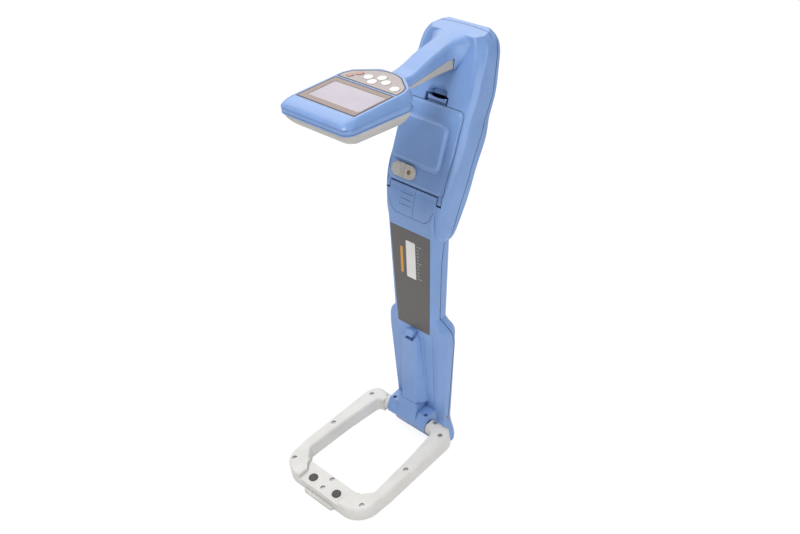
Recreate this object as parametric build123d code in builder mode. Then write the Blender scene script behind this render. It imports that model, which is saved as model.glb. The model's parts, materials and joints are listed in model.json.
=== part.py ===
from build123d import *
from math import asin, atan2, cos, hypot, radians, sin, tan
import os

# Standing marker locator: a two-shell blade with a handle and display head, and a fold-up antenna loop.
# Millimetres. The floor is z = 0 under the foot, the front faces -Y and +X is the right side seen
# from the front.
os.makedirs("parts", exist_ok=True)

# blade and wing
body_height = 648.0
label_tilt = 3.4
upper_lean = 19.6
front_floor_y = -10.78
kink_z = body_height - 237.0
kink_y = front_floor_y - tan(radians(label_tilt)) * kink_z
kink_blend = 22.0
blade_half_low = 40.5
blade_half_rise = 0.0275
blade_half_low_z = 230.0
blade_half_max = 46.0
blade_rear_y = 8.0
wing_half_width = 60.5
wing_length = 284.0
wing_top_slope = 11.0
wing_top_y = 46.0
wing_top_drop = 6.4
wing_top_round = 2.4
wing_bevel = 10.0
wing_nose = 8.0
shell_wall = 2.6
seam_gap = 1.2
seal_inset = 1.2
blade_bevel = 3.2
boot_top_z = 236.0
boot_half_width = 55.0
boot_bevel = 5.2
boot_bottom_half = 47.5
boot_bottom_bevel = 9.5
boot_rear_y = 15.2
foot_joint_z = 44.0

# head and handle
head_tilt = 5.6
head_y = -149.7
head_z = body_height - 41.0
head_half_width = 62.0
head_front = 57.0
head_side_back = 53.0
head_crease_depth = 9.5
head_split_depth = 20.4
head_split_tilt = 3.9
head_depth = 38.7
head_corner = 12.0
head_roof = 4.0
head_wall = 2.4
display_half = 51.6
display_reach = 33.7
window_left = -41.5
window_right = 47.0
window_front = -22.2
window_back = 23.8
keypad_front = 36.7
keypad_back = 81.5
panel_sink = 1.6
key_radius = 6.4
key_gap = 0.35
key_travel = 0.9
key_stand = 1.3
key_round = 0.8
grip_half_width = 18.5
grip_top_round = 6.0
grip_low_round = 9.0
grip_slope = 12.65

# battery door, latch and socket cover
door_half_width = 52.0
door_hinge_drop = 22.0
door_length = 126.3
door_foot = 8.6
door_corner = 7.0
door_crown = 2.6
door_rib_depth = 8.2
door_gap = 0.7
door_foot_gap = 1.5
door_axis_depth = 4.2
door_leg_set_in = 1.5
door_leg_width = 6.1
door_leg_radius = 4.0
door_pin_radius = 1.5
pin_clearance = 0.05
bump_side_margin = 16.0
bump_low_margin = 29.4
bump_high_margin = 21.3
bump_rise = 6.2
latch_half_width = 16.4
latch_travel = 3.2
latch_depth = 3.6
latch_sheet = 2.7
cover_side_margin = 8.0
cover_t = 25.5
cover_half_length = 21.8
cover_half_height = 10.3
cover_plug_shift = 11.5
cover_split_shift = 1.8
cover_screw_shift = 10.8
cover_thick = 3.0
moving_gap = 0.4

# hinge bracket and antenna loop
hinge_y = -28.5
hinge_z = 45.5
hinge_pin_radius = 4.0
block_half_width = 40.0
knuckle_end = 48.0
block_radius = 12.0
spine_front_y = -33.7
spine_half_width = 14.0
spine_base_half = 24.0
spine_taper = 0.045
spine_bottom_z = 60.0
spine_top_z = 200.0
loop_height = 23.0
loop_half_width = 87.5
loop_front = 199.0
loop_back = 11.3
loop_elbow = 26.0
loop_inner_elbow = 9.0
loop_front_bar = 33.5
loop_lip_stand = 5.5
lip_half_width = 30.0
loop_split = 6.0
loop_wall = 2.5
loop_recess = 5.8
bumper_x = 25.0
bumper_set_back = 13.7
bumper_radius = 7.0
bumper_stand = 1.5
bumper_round = 0.9
screw_head_radius = 3.2
screw_hole_radius = 3.7

# label
label_bottom_z = 209.0
label_top_z = body_height - 272.0
label_half_bottom = 31.7
label_half_top = 38.3
label_thick = 0.6
label_sink = 0.45


def front_y(z):
    """Front face of the blade at a height: label face below, door face above, rounded between."""
    low = kink_z - kink_blend
    high = kink_z + kink_blend
    below = -tan(radians(label_tilt))
    above = tan(radians(upper_lean))
    if z <= low:
        return kink_y + below * (z - kink_z)
    if z >= high:
        return kink_y + above * (z - kink_z)
    start = kink_y + below * (low - kink_z)
    return start + below * (z - low) + (above - below) * (z - low) ** 2 / (4 * kink_blend)


def tilted(x, y, z, angle):
    """Plane whose face looks up, tipped so that it rises towards the rear."""
    return Plane(origin=(x, y, z), x_dir=(1, 0, 0), z_dir=(0, -sin(radians(angle)), cos(radians(angle))))


def blade_half(z):
    return min(blade_half_low + (z - blade_half_low_z) * blade_half_rise, blade_half_max)


def section(z, front_half, side_half, front, rear, inset=0.0, corner=4.0, bevel=None, nose=None):
    """Eight-sided level cross-section of the body with rounded corners; the nose is the front pair."""
    front = front + inset
    rear = rear - inset
    fh = front_half - inset
    sh = side_half - inset
    deep = rear - front
    rh = sh - 0.16 * deep
    y1 = front + (0.33 * deep if bevel is None else min(bevel, 0.4 * deep))
    y2 = rear - 0.22 * deep
    corners = [(-fh, front), (fh, front), (sh, y1), (sh, y2), (rh, rear), (-rh, rear), (-sh, y2), (-sh, y1)]
    with BuildSketch(Plane.XY.offset(z)) as outline:
        with BuildLine():
            Polyline(*corners, close=True)
        make_face()
        rows = outline.vertices().group_by(Axis.Y)
        fillet(rows[1] + rows[2] + rows[3], corner)
        fillet(outline.vertices().group_by(Axis.Y)[0], corner if nose is None else nose)
    return outline.sketch


def wing_solid(inset):
    """Upper body: distance below the top, half width lost at front edge and side, front set-back, rear y."""
    widest = wing_half_width
    stations = [
        (wing_length, 28.5, 22.5, 12.4, 2.0),
        (wing_length - 5, 19.5, 13.0, 7.7, 7.5),
        (wing_length - 12, 15.5, 9.5, 6.1, 11.0),
        (243, 11.5, 6.0, 3.6, 27.0),
        (214, 8.5, 3.0, 0.0, 38.5),
        (160, 7.5, 0.5, 0.0, 57.0),
        (128, 7.5, 0.0, 0.0, 67.5),
        (93, 7.5, 0.0, 0.0, 76.5),
        (53, 9.5, 0.5, 0.0, 82.5),
        (28, 14.5, 2.0, 0.0, 84.5),
        (12, 20.0, 7.5, 0.0, 84.0),
        (1, 27.5, 19.5, 0.0, 81.0),
        (-5, 34.0, 27.0, 0.0, 79.0),
    ]
    with BuildPart() as wing:
        for index, (down, front_loss, side_loss, set_back, rear) in enumerate(stations):
            z = body_height - down
            if index == 0:
                z = z + inset
            front = front_y(z) + set_back
            front_half = widest - front_loss
            side_half = widest - side_loss
            add(section(z, front_half, side_half, front, rear, inset, bevel=wing_bevel, nose=wing_nose))
        loft()
    return wing.part


def blade_solid(inset, low):
    """Narrow blade with the label face, and the rounded panel that runs up into the wing."""
    with BuildPart() as blade:
        for z in (low, kink_z - kink_blend):
            add(section(z, blade_half(z) - blade_bevel, blade_half(z), front_y(z), blade_rear_y, inset, 3.0))
        loft(ruled=True)
        for lift, sink in ((-kink_blend, 0), (-8, 0), (8, 0), (kink_blend, 0), (36, 1.5)):
            z = kink_z + lift
            half = blade_half(z)
            add(section(z, half - blade_bevel, half, front_y(z) + sink, blade_rear_y, inset, 3.0))
        loft()
    return blade.part


def boot_solid(inset, low):
    """Wider lower body, tapered downwards, with rounded shoulders."""
    shoulders = [
        (-44, 0.0, 0.0, 0.0, 0.4),
        (-26, 0.0, 0.3, 0.3, 0.4),
        (-20, 0.5, 1.8, 1.2, 0.4),
        (-14, 1.8, 4.8, 3.5, 0.4),
        (-8, 5.0, 8.8, 7.0, 0.6),
    ]
    neck = [shoulders[-1], (-inset, 12.5, 14.5, 9.0, 2.0)]
    with BuildPart() as boot:
        rise = shoulders[0][0]
        front_half = boot_bottom_half - boot_bottom_bevel
        add(section(low, front_half, boot_bottom_half, front_y(low) + 0.4, boot_rear_y + 1.8, inset))
        z = boot_top_z + rise
        add(section(z, boot_half_width - boot_bevel, boot_half_width, front_y(z) + 0.4, boot_rear_y, inset))
        loft(ruled=True)
        for rows, straight in ((shoulders, False), (neck, True)):
            for rise, front_loss, side_loss, back, sink in rows:
                z = boot_top_z + rise
                front_half = boot_half_width - boot_bevel - front_loss
                side_half = boot_half_width - side_loss
                add(section(z, front_half, side_half, front_y(z) + sink, boot_rear_y - back, inset))
            loft(ruled=straight)
    return boot.part


def body_solid(inset, blade_low, boot_low):
    with BuildPart() as body:
        add(blade_solid(inset, blade_low))
        add(boot_solid(inset, boot_low))
        add(wing_solid(inset))
        with BuildSketch(tilted(0, wing_top_y, body_height - wing_top_drop - inset, wing_top_slope)):
            Rectangle(200, 300)
        extrude(amount=120, mode=Mode.SUBTRACT)
        if inset == 0.0:
            fillet(body.faces().sort_by(Axis.Z)[-1].edges(), wing_top_round)
    return body.part


# body seam, as (y, z) from the floor up
seam_line = [
    (boot_rear_y - 9, -20),
    (boot_rear_y - 9, boot_top_z - 44),
    (boot_rear_y - 13, boot_top_z - 28),
    (blade_rear_y - 19, boot_top_z + 2),
    (blade_rear_y - 21, kink_z - 80),
    (blade_rear_y - 18, kink_z - 48),
    (blade_rear_y - 11, kink_z - 30),
    (8, kink_z + 10),
    (24, kink_z + 64),
    (42, kink_z + 106),
    (53, kink_z + 133),
    (61, kink_z + 160),
    (67, kink_z + 193),
    (71, body_height - 18),
    (78, body_height - 7),
    (88, body_height - 2),
    (160, body_height + 2),
]


def seam_side(sign, gap):
    """Block in front of the seam (sign -1) or behind it (sign +1), starting the gap away from it."""
    edge = [(y + sign * gap, z) for y, z in seam_line]
    far = sign * 200
    with BuildPart() as block:
        with BuildSketch(Plane.YZ):
            with BuildLine():
                top = body_height + 60
                Polyline((far, -20), *edge, (edge[-1][0], top), (far, top), close=True)
            make_face()
        extrude(amount=90, both=True)
    return block.part


def placed(part, plane):
    return part.moved(plane.location)


door_z = kink_z + door_hinge_drop
door_leg_outer = door_half_width - door_leg_set_in
door_leg_inner = door_leg_outer - door_leg_width
cover_x = -door_half_width + cover_side_margin + cover_half_length
plug_x = cover_x - cover_plug_shift
cover_split_x = cover_x + cover_split_shift
cover_screw_x = cover_x + cover_screw_shift
loop_lip_reach = loop_front + loop_lip_stand
bumper_v = loop_front - bumper_set_back
door_normal = (0, -cos(radians(upper_lean)), sin(radians(upper_lean)))
door_plane = Plane(origin=(0, front_y(door_z), door_z), x_dir=(1, 0, 0), z_dir=door_normal)
head_plane = tilted(0, head_y, head_z, head_tilt)
lip_distance = hypot(loop_lip_reach, loop_height / 2)
loop_rest_angle = asin(hinge_z / lip_distance) - atan2(loop_height / 2, loop_lip_reach)
loop_normal = (0, -sin(loop_rest_angle), cos(loop_rest_angle))
loop_plane = Plane(origin=(0, hinge_y, hinge_z), x_dir=(1, 0, 0), z_dir=loop_normal)
label_normal = (0, -cos(radians(label_tilt)), -sin(radians(label_tilt)))
label_origin = (0, front_y(label_bottom_z), label_bottom_z)
label_plane = Plane(origin=label_origin, x_dir=(1, 0, 0), z_dir=label_normal)


def local_box(x0, x1, y0, y1, z0, z1):
    with BuildPart() as box:
        with BuildSketch(Plane.XY.offset(z0)):
            with Locations(((x0 + x1) / 2, (y0 + y1) / 2)):
                Rectangle(x1 - x0, y1 - y0)
        extrude(amount=z1 - z0)
    return box.part


def local_rod(x, y, z0, z1, radius):
    with BuildPart() as rod:
        with BuildSketch(Plane.XY.offset(z0)):
            with Locations((x, y)):
                Circle(radius)
        extrude(amount=z1 - z0)
    return rod.part


def cross_rod(x0, x1, y, z, radius):
    """Rod along X."""
    with BuildPart() as rod:
        with BuildSketch(Plane(origin=(x0, y, z), x_dir=(0, 1, 0), z_dir=(1, 0, 0))):
            Circle(radius)
        extrude(amount=x1 - x0)
    return rod.part


outer_body = body_solid(0.0, 150.0, foot_joint_z)
cavity = body_solid(shell_wall, 100.0, foot_joint_z - 1)
seal_body = body_solid(seal_inset, 150.0, foot_joint_z)

# thumb scoop above the door: a backing block, the scoop and the slot that the latch sits in
scoop_foot = door_length + 12.5
scoop_top = door_length + 29.0
scoop_half = latch_half_width + 0.6
slot_half = latch_half_width + 4.1
scoop_back = placed(local_box(-24, 24, door_length - 2, scoop_top + 5, -15, 5), door_plane)
with BuildPart() as scoop_local:
    with BuildSketch(Plane.XY.offset(-9)):
        with Locations((0, scoop_foot + 2)):
            Rectangle(2 * scoop_half - 3, 6)
    with BuildSketch(Plane.XY.offset(0.2)):
        with BuildLine():
            start = (-scoop_half, scoop_foot - 1)
            Polyline(start, (scoop_half, scoop_foot - 1), (scoop_half, scoop_foot + 1))
            ThreePointArc((scoop_half, scoop_foot + 1), (0, scoop_top), (-scoop_half, scoop_foot + 1))
            Line((-scoop_half, scoop_foot + 1), (-scoop_half, scoop_foot - 1))
        make_face()
    loft(ruled=True)
scoop = placed(scoop_local.part, door_plane)
latch_slot = placed(local_box(-slot_half, slot_half, door_length - 3, scoop_foot - 0.6, -18, 4), door_plane)



def door_pad(height, side_in, low_in, high_in, corner=door_corner):
    """Rounded outline on the door, set in from the door's edges, at a height above its face."""
    low = door_foot + low_in
    high = door_length - high_in
    with BuildSketch(Plane.XY.offset(height)) as outline:
        with Locations((0, (low + high) / 2)):
            RectangleRounded(2 * (door_half_width - side_in), high - low, corner)
    return outline.sketch


# door opening with the two leg slots
opening_low = door_foot - door_foot_gap
with BuildPart() as opening_block:
    add(door_pad(-20, -door_gap, -door_foot_gap, -door_gap, door_corner + door_gap))
    extrude(amount=24)
door_opening = placed(opening_block.part, door_plane)
leg_slots = []
for side in (-1, 1):
    x0 = side * (door_leg_inner - door_gap)
    x1 = side * (door_leg_outer + door_gap)
    slot_low = -door_leg_radius - 1.5
    slot_block = local_box(min(x0, x1), max(x0, x1), slot_low, door_foot + door_corner, -20, 4)
    leg_slots.append(placed(slot_block, door_plane))

# bosses that carry the door pins
pin_bosses = []
pin_bores = []
for side in (-1, 1):
    x0 = side * (door_leg_inner - door_gap - 8)
    x1 = side * (door_leg_inner - door_gap)
    pin_bosses.append(placed(local_box(min(x0, x1), max(x0, x1), -5, 6, -9, 3), door_plane))
pin_centre = door_plane.from_local_coords((0, 0, -door_axis_depth))
for side in (-1, 1):
    x0 = side * (door_leg_inner - door_gap - 7)
    x1 = side * (door_leg_outer - 0.6)
    pin_bores.append(cross_rod(min(x0, x1), max(x0, x1), pin_centre.Y, pin_centre.Z, door_pin_radius))

label_length = (label_top_z - label_bottom_z) / cos(radians(label_tilt))


def label_block(grow, low, high):
    with BuildPart() as block:
        with BuildSketch(Plane.XY.offset(low)):
            with BuildLine():
                Polyline(
                    (-label_half_bottom - grow, -grow),
                    (label_half_bottom + grow, -grow),
                    (label_half_top + grow, label_length + grow),
                    (-label_half_top - grow, label_length + grow),
                    close=True,
                )
            make_face()
        extrude(amount=high - low)
    return block.part


# outline of the cover plate below the door, and the shallow pocket that it lies in
cover_top_z = door_z + opening_low * cos(radians(upper_lean)) - 0.6
cover_low_z = kink_z - 13.0
cover_half = door_leg_inner - door_gap - 0.4
cover_parting = 5.0
cover_gap = 0.5
cover_sheet = 1.1
cover_rows = 12


def hinge_cover_block(grow):
    """Slab along the front face, down to the cover's thickness, wider and higher by the gap for its pocket."""
    low = cover_low_z - grow
    top = cover_top_z + 3 * grow
    half = cover_half + grow
    reach = cover_top_z - cover_low_z + 8
    zs = [cover_low_z - 4 + reach * i / cover_rows for i in range(cover_rows + 1)]
    face = [(front_y(z) - 4, z) for z in zs]
    back = [(front_y(z) + cover_sheet, z) for z in reversed(zs)]
    with BuildPart() as slab:
        with BuildSketch(Plane.YZ.offset(-half - 1)):
            with BuildLine():
                Polyline(*face, *back, close=True)
            make_face()
        extrude(amount=2 * half + 2)
        with BuildSketch(Plane.XZ.offset(80)):
            with BuildLine():
                Polyline(
                    (-half, top),
                    (half, top),
                    (half - 0.6, low + 22),
                    (half - 8, low + 6),
                    (half - 16, low),
                    (-half + 16, low),
                    (-half + 8, low + 6),
                    (-half + 0.6, low + 22),
                    close=True,
                )
            make_face()
        extrude(amount=-100, mode=Mode.INTERSECT)
    return slab.part


with BuildPart() as front_shell:
    add(scoop_back)
    for boss in pin_bosses:
        add(boss)
    add(outer_body, mode=Mode.INTERSECT)
    backing = front_shell.part
    add(outer_body)
    add(cavity, mode=Mode.SUBTRACT)
    add(backing)
    add(seam_side(-1, seam_gap / 2), mode=Mode.INTERSECT)
    add(door_opening, mode=Mode.SUBTRACT)
    add(latch_slot, mode=Mode.SUBTRACT)
    add(scoop, mode=Mode.SUBTRACT)
    for slot in leg_slots:
        add(slot, mode=Mode.SUBTRACT)
    for bore in pin_bores:
        add(bore, mode=Mode.SUBTRACT)
    add(hinge_cover_block(cover_gap), mode=Mode.SUBTRACT)
    add(placed(label_block(0.15, -label_sink, 3), label_plane), mode=Mode.SUBTRACT)
front_shell.part.label = "front_shell"
export_step(front_shell.part, "parts/front_shell.step")

with BuildPart() as shell_seal:
    add(seal_body)
    add(cavity, mode=Mode.SUBTRACT)
    add(seam_side(-1, -seam_gap / 2), mode=Mode.INTERSECT)
    add(seam_side(1, -seam_gap / 2), mode=Mode.INTERSECT)
shell_seal.part.label = "shell_seal"
export_step(shell_seal.part, "parts/shell_seal.step")

with BuildPart() as rear_shell:
    add(outer_body)
    add(cavity, mode=Mode.SUBTRACT)
    add(seam_side(1, seam_gap / 2), mode=Mode.INTERSECT)
rear_shell.part.label = "rear_shell"
export_step(rear_shell.part, "parts/rear_shell.step")

# foot under the boot: height, then how far it flares past the boot at the side, front and rear
foot_stations = [
    (0.0, 4.2, -7.0, 0.5),
    (2.5, 6.0, -4.0, 2.6),
    (6.0, 7.2, -0.5, 3.4),
    (10.0, 7.8, 2.2, 3.8),
    (20.0, 6.2, 4.0, 3.2),
    (33.0, 2.2, 1.6, 1.2),
    (foot_joint_z, 0.0, 0.0, 0.0),
]
joint_half = boot_bottom_half
joint_nose = boot_bottom_half - boot_bottom_bevel
joint_front = front_y(foot_joint_z) + 0.4
joint_rear = boot_rear_y + 1.8
with BuildPart() as foot_block:
    for z, side, ahead, behind in foot_stations:
        half = joint_half + side
        add(section(z, half - boot_bottom_bevel, half, joint_front - ahead, joint_rear + behind))
    loft(ruled=True)
with BuildPart() as foot_cavity:
    add(section(4.0, joint_nose + 2, joint_half + 2, joint_front + 5.0, boot_rear_y + 2, 3.2))
    add(section(foot_joint_z + 20, joint_nose, joint_half, joint_front, joint_rear, 4.6))
    loft(ruled=True)
with BuildPart() as foot:
    add(foot_block.part)
    add(section(foot_joint_z, joint_nose, joint_half, joint_front, joint_rear, 3.0))
    extrude(amount=9)
    add(foot_cavity.part, mode=Mode.SUBTRACT)
foot.part.label = "foot"
export_step(foot.part, "parts/foot.step")

# label plate in its shallow pocket
with BuildPart() as label_plate:
    add(placed(label_block(0.0, -label_sink, label_thick - label_sink), label_plane))
label_plate.part.label = "label_plate"
export_step(label_plate.part, "parts/label_plate.step")

# curved cover plate below the door, in two halves
with BuildPart() as hinge_cover_left:
    add(hinge_cover_block(0.0))
    add(outer_body, mode=Mode.INTERSECT)
    add(local_box(cover_parting - cover_gap / 2, 100, -100, 0, cover_low_z - 20, cover_top_z + 20), mode=Mode.SUBTRACT)
    for z in (cover_top_z - 10.0, cover_top_z - 18.0, cover_top_z - 26.0):
        with BuildSketch(Plane.XZ.offset(80)):
            with Locations((cover_parting - 15.0, z)):
                Rectangle(22, 1.0)
        extrude(amount=-(80 + front_y(z) + 0.5), mode=Mode.SUBTRACT)
hinge_cover_left.part.label = "hinge_cover_left"
export_step(hinge_cover_left.part, "parts/hinge_cover_left.step")
with BuildPart() as hinge_cover_right:
    add(hinge_cover_block(0.0))
    add(outer_body, mode=Mode.INTERSECT)
    add(local_box(-100, cover_parting + cover_gap / 2, -100, 0, cover_low_z - 20, cover_top_z + 20), mode=Mode.SUBTRACT)
hinge_cover_right.part.label = "hinge_cover_right"
export_step(hinge_cover_right.part, "parts/hinge_cover_right.step")

with BuildPart() as door_pins:
    for pin in pin_bores:
        add(pin)
door_pins.part.label = "door_pins"
export_step(door_pins.part, "parts/door_pins.step")

# battery door, drawn flat: x across, y up the door, z outwards
# height above the face, then how far the crown and the raised field are set in at the side, foot and top
crown_levels = [
    (-1.2, 1.4, 0.8, 1.4),
    (0.6, 2.6, 1.6, 3.0),
    (0.7 * door_crown, 5.0, 2.6, 6.5),
    (0.92 * door_crown, 8.0, 3.6, 11.0),
    (door_crown, 12.0, 5.0, 16.0),
]
bump_levels = [
    (door_crown - 0.4, -3.0),
    (door_crown + 0.3, -0.8),
    (0.66 * bump_rise, 1.6),
    (0.86 * bump_rise, 4.0),
    (0.96 * bump_rise, 7.5),
    (bump_rise, 11.5),
]
crown_wall = 2.6


def bump_pad(height, inset):
    return door_pad(height, bump_side_margin + inset, bump_low_margin + inset, bump_high_margin + inset, 8)


with BuildPart() as door_slab:
    add(door_pad(-12, 0, 0, 0))
    extrude(amount=13)
with BuildPart() as door_crown_local:
    for height, side_in, low_in, high_in in crown_levels:
        add(door_pad(height, side_in, low_in, high_in))
    loft()
with BuildPart() as door_bump_local:
    for height, inset in bump_levels:
        add(bump_pad(height, inset))
    loft()
with BuildPart() as door_hollow_local:
    add(door_pad(-door_rib_depth - 1, 8, 7, 18))
    extrude(amount=door_rib_depth + 1 + door_crown - crown_wall)
    add(bump_pad(-1, 4))
    add(bump_pad(bump_rise - crown_wall, 8))
    loft(ruled=True)
with BuildPart() as door_frame_local:
    with BuildSketch(Plane.XY.offset(-door_rib_depth)):
        with Locations((0, (door_foot + door_length) / 2)):
            RectangleRounded(2 * door_half_width - 5, door_length - door_foot - 5, 4)
            RectangleRounded(2 * door_half_width - 9, door_length - door_foot - 9, 3, mode=Mode.SUBTRACT)
    extrude(amount=door_rib_depth - 1.6)
    for side in (-1, 1):
        with BuildSketch(Plane.XY.offset(-latch_depth - latch_sheet - 1.4)):
            with Locations((side * (latch_half_width + moving_gap + 1.2), door_length - 14)):
                Rectangle(2.4, 12)
        extrude(amount=latch_depth + latch_sheet)
    with BuildSketch(Plane.XY.offset(-door_rib_depth - 1)):
        with Locations((0, door_length - 4)):
            Rectangle(2 * (latch_half_width + moving_gap), 8)
    extrude(amount=door_rib_depth + 1 - latch_depth + moving_gap, mode=Mode.SUBTRACT)
with BuildPart() as door_legs_local:
    for side in (-1, 1):
        leg_x = min(side * door_leg_inner, side * door_leg_outer)
        with BuildSketch(Plane(origin=(leg_x, 0, -door_axis_depth), x_dir=(0, 1, 0), z_dir=(1, 0, 0))):
            Circle(door_leg_radius)
            with Locations((door_foot / 2 + 2, 0)):
                Rectangle(door_foot + 4, 2 * door_leg_radius)
            Circle(door_pin_radius + pin_clearance, mode=Mode.SUBTRACT)
        extrude(amount=door_leg_width)

with BuildPart() as battery_door:
    add(placed(door_slab.part, door_plane))
    add(outer_body, mode=Mode.INTERSECT)
    add(cavity, mode=Mode.SUBTRACT)
    add(placed(door_crown_local.part, door_plane))
    add(placed(door_bump_local.part, door_plane))
    add(placed(door_hollow_local.part, door_plane), mode=Mode.SUBTRACT)
    add(placed(door_frame_local.part, door_plane))
    add(placed(door_legs_local.part, door_plane))
    add(placed(local_rod(plug_x, cover_t, -20, 20, 6.6), door_plane), mode=Mode.SUBTRACT)
battery_door.part.label = "battery_door"
export_step(battery_door.part, "parts/battery_door.step")

# sliding latch behind the top edge of the door; its thumb tab stands in the slot, hollowed for the thumb
tab_low = door_length + latch_travel + 0.5
tab_high = tab_low + 6.0
tab_dip = tab_low + 3.4
latch_back = -latch_depth - latch_sheet
with BuildPart() as latch_local:
    with BuildSketch(Plane.XY.offset(latch_back)):
        with Locations((0, (door_length - 24 + tab_dip) / 2)):
            Rectangle(2 * latch_half_width, tab_dip - door_length + 24)
    extrude(amount=latch_sheet)
    with BuildSketch(Plane.XY.offset(latch_back)):
        with BuildLine():
            Polyline(
                (-latch_half_width, tab_high),
                (-latch_half_width, tab_low),
                (latch_half_width, tab_low),
                (latch_half_width, tab_high),
            )
            ThreePointArc((latch_half_width, tab_high), (0, tab_dip), (-latch_half_width, tab_high))
        make_face()
    extrude(amount=-latch_back - 0.6)
    chamfer(latch_local.faces().sort_by(Axis.Z)[-1].edges(), 0.8)
with BuildPart() as door_latch:
    add(placed(latch_local.part, door_plane))
door_latch.part.label = "door_latch"
export_step(door_latch.part, "parts/door_latch.step")


def oval(low, high):
    """Rounded oval of the socket cover."""
    with BuildPart() as pad:
        with BuildSketch(Plane.XY.offset(low)):
            with Locations((cover_x, cover_t)):
                SlotOverall(2 * cover_half_length, 2 * cover_half_height)
        extrude(amount=high - low)
        fillet(pad.faces().sort_by(Axis.Z)[-1].edges(), 1.2)
    return pad.part


cover_seat = door_crown
cover_top = cover_seat + cover_thick
flap_clearance = 0.15
cap_radius = cover_half_height - 1.5
cap_rise = 1.2
with BuildPart() as flap_local:
    add(local_rod(plug_x, cover_t, cover_top - 1, cover_top + cap_rise, cap_radius))
    fillet(flap_local.faces().sort_by(Axis.Z)[-1].edges(), 1.0)
    add(oval(cover_seat + flap_clearance, cover_top))
    with BuildSketch(Plane.XY.offset(-5)):
        with Locations((cover_split_x + 50 - 0.25, cover_t)):
            Rectangle(100, 60)
    extrude(amount=30, mode=Mode.SUBTRACT)
    add(local_rod(plug_x, cover_t, cover_seat - 1.5, cover_seat + flap_clearance, 5.8))
with BuildPart() as socket_flap:
    add(placed(flap_local.part, door_plane))
socket_flap.part.label = "socket_flap"
export_step(socket_flap.part, "parts/socket_flap.step")

with BuildPart() as base_local:
    add(oval(cover_seat, cover_top))
    with BuildSketch(Plane.XY.offset(-5)):
        with Locations((cover_split_x - 50 + 0.25, cover_t)):
            Rectangle(100, 60)
    extrude(amount=30, mode=Mode.SUBTRACT)
    with BuildSketch(Plane.XY.offset(cover_seat + 1.0)):
        with Locations((cover_screw_x, cover_t)):
            Circle(3.4)
    extrude(amount=5, mode=Mode.SUBTRACT)
with BuildPart() as cover_base:
    add(placed(base_local.part, door_plane))
cover_base.part.label = "cover_base"
export_step(cover_base.part, "parts/cover_base.step")

with BuildPart() as cover_screw_local:
    with BuildSketch(Plane.XY.offset(cover_seat + 1.0)):
        with Locations((cover_screw_x, cover_t)):
            Circle(2.9)
    extrude(amount=1.6)
    with BuildSketch(Plane.XY.offset(cover_seat + 1.7)):
        with Locations((cover_screw_x, cover_t)):
            Rectangle(5.0, 0.9)
            Rectangle(0.9, 5.0)
    extrude(amount=2, mode=Mode.SUBTRACT)
with BuildPart() as cover_screw:
    add(placed(cover_screw_local.part, door_plane))
cover_screw.part.label = "cover_screw"
export_step(cover_screw.part, "parts/cover_screw.step")

socket_top = door_crown - crown_wall
socket_length = 7.8
with BuildPart() as socket_local:
    add(local_rod(plug_x, cover_t, socket_top - socket_length, socket_top, 8.4))
    with BuildSketch(Plane.XY.offset(socket_top - socket_length + 2)):
        with Locations((plug_x, cover_t)):
            Circle(5.0)
            Circle(1.2, mode=Mode.SUBTRACT)
    extrude(amount=socket_length, mode=Mode.SUBTRACT)
with BuildPart() as charge_socket:
    add(placed(socket_local.part, door_plane))
charge_socket.part.label = "charge_socket"
export_step(charge_socket.part, "parts/charge_socket.step")

# hinge block and bracket on the front of the boot
with BuildPart() as hinge_block:
    with BuildSketch(Plane.YZ.offset(-block_half_width)):
        with Locations((hinge_y, hinge_z)):
            Circle(block_radius)
        with BuildLine():
            Polyline(
                (hinge_y - block_radius + 1.5, hinge_z + 6),
                (hinge_y - 5, hinge_z + 18),
                (-14, hinge_z + 23),
                (-4, hinge_z + 23),
                (-4, hinge_z - block_radius + 1),
                (hinge_y, hinge_z - block_radius),
                close=True,
            )
        make_face()
    extrude(amount=2 * block_half_width)
    with BuildSketch(Plane.YZ.offset(-spine_half_width - 5)):
        with BuildLine():
            Polyline(
                (hinge_y - block_radius + 0.8, hinge_z + 4),
                (spine_front_y - 0.5, spine_bottom_z + 18),
                (-4, spine_bottom_z + 18),
                (-4, hinge_z),
                close=True,
            )
        make_face()
    extrude(amount=2 * spine_half_width + 10)
    add(outer_body, mode=Mode.SUBTRACT)
    add(foot_block.part, mode=Mode.SUBTRACT)
    for side in (-1, 1):
        x0 = side * (block_half_width - 16)
        x1 = side * (block_half_width + 1)
        add(cross_rod(min(x0, x1), max(x0, x1), hinge_y, hinge_z, hinge_pin_radius), mode=Mode.SUBTRACT)
    for side in (-1, 1):
        seat = local_rod(side * 33, hinge_y - 1.5, hinge_z + 11, hinge_z + 40, screw_head_radius)
        add(seat, mode=Mode.SUBTRACT)
hinge_block.part.label = "hinge_block"
export_step(hinge_block.part, "parts/hinge_block.step")

with BuildPart() as block_screws:
    for side in (-1, 1):
        add(local_rod(side * 33, hinge_y - 1.5, hinge_z + 11, hinge_z + 16.5, screw_head_radius - 0.2))
block_screws.part.label = "block_screws"
export_step(block_screws.part, "parts/block_screws.step")

with BuildPart() as hinge_pins:
    for side in (-1, 1):
        x0 = side * (block_half_width - 16)
        x1 = side * (block_half_width + 17)
        add(cross_rod(min(x0, x1), max(x0, x1), hinge_y, hinge_z, hinge_pin_radius))
hinge_pins.part.label = "hinge_pins"
export_step(hinge_pins.part, "parts/hinge_pins.step")


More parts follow.
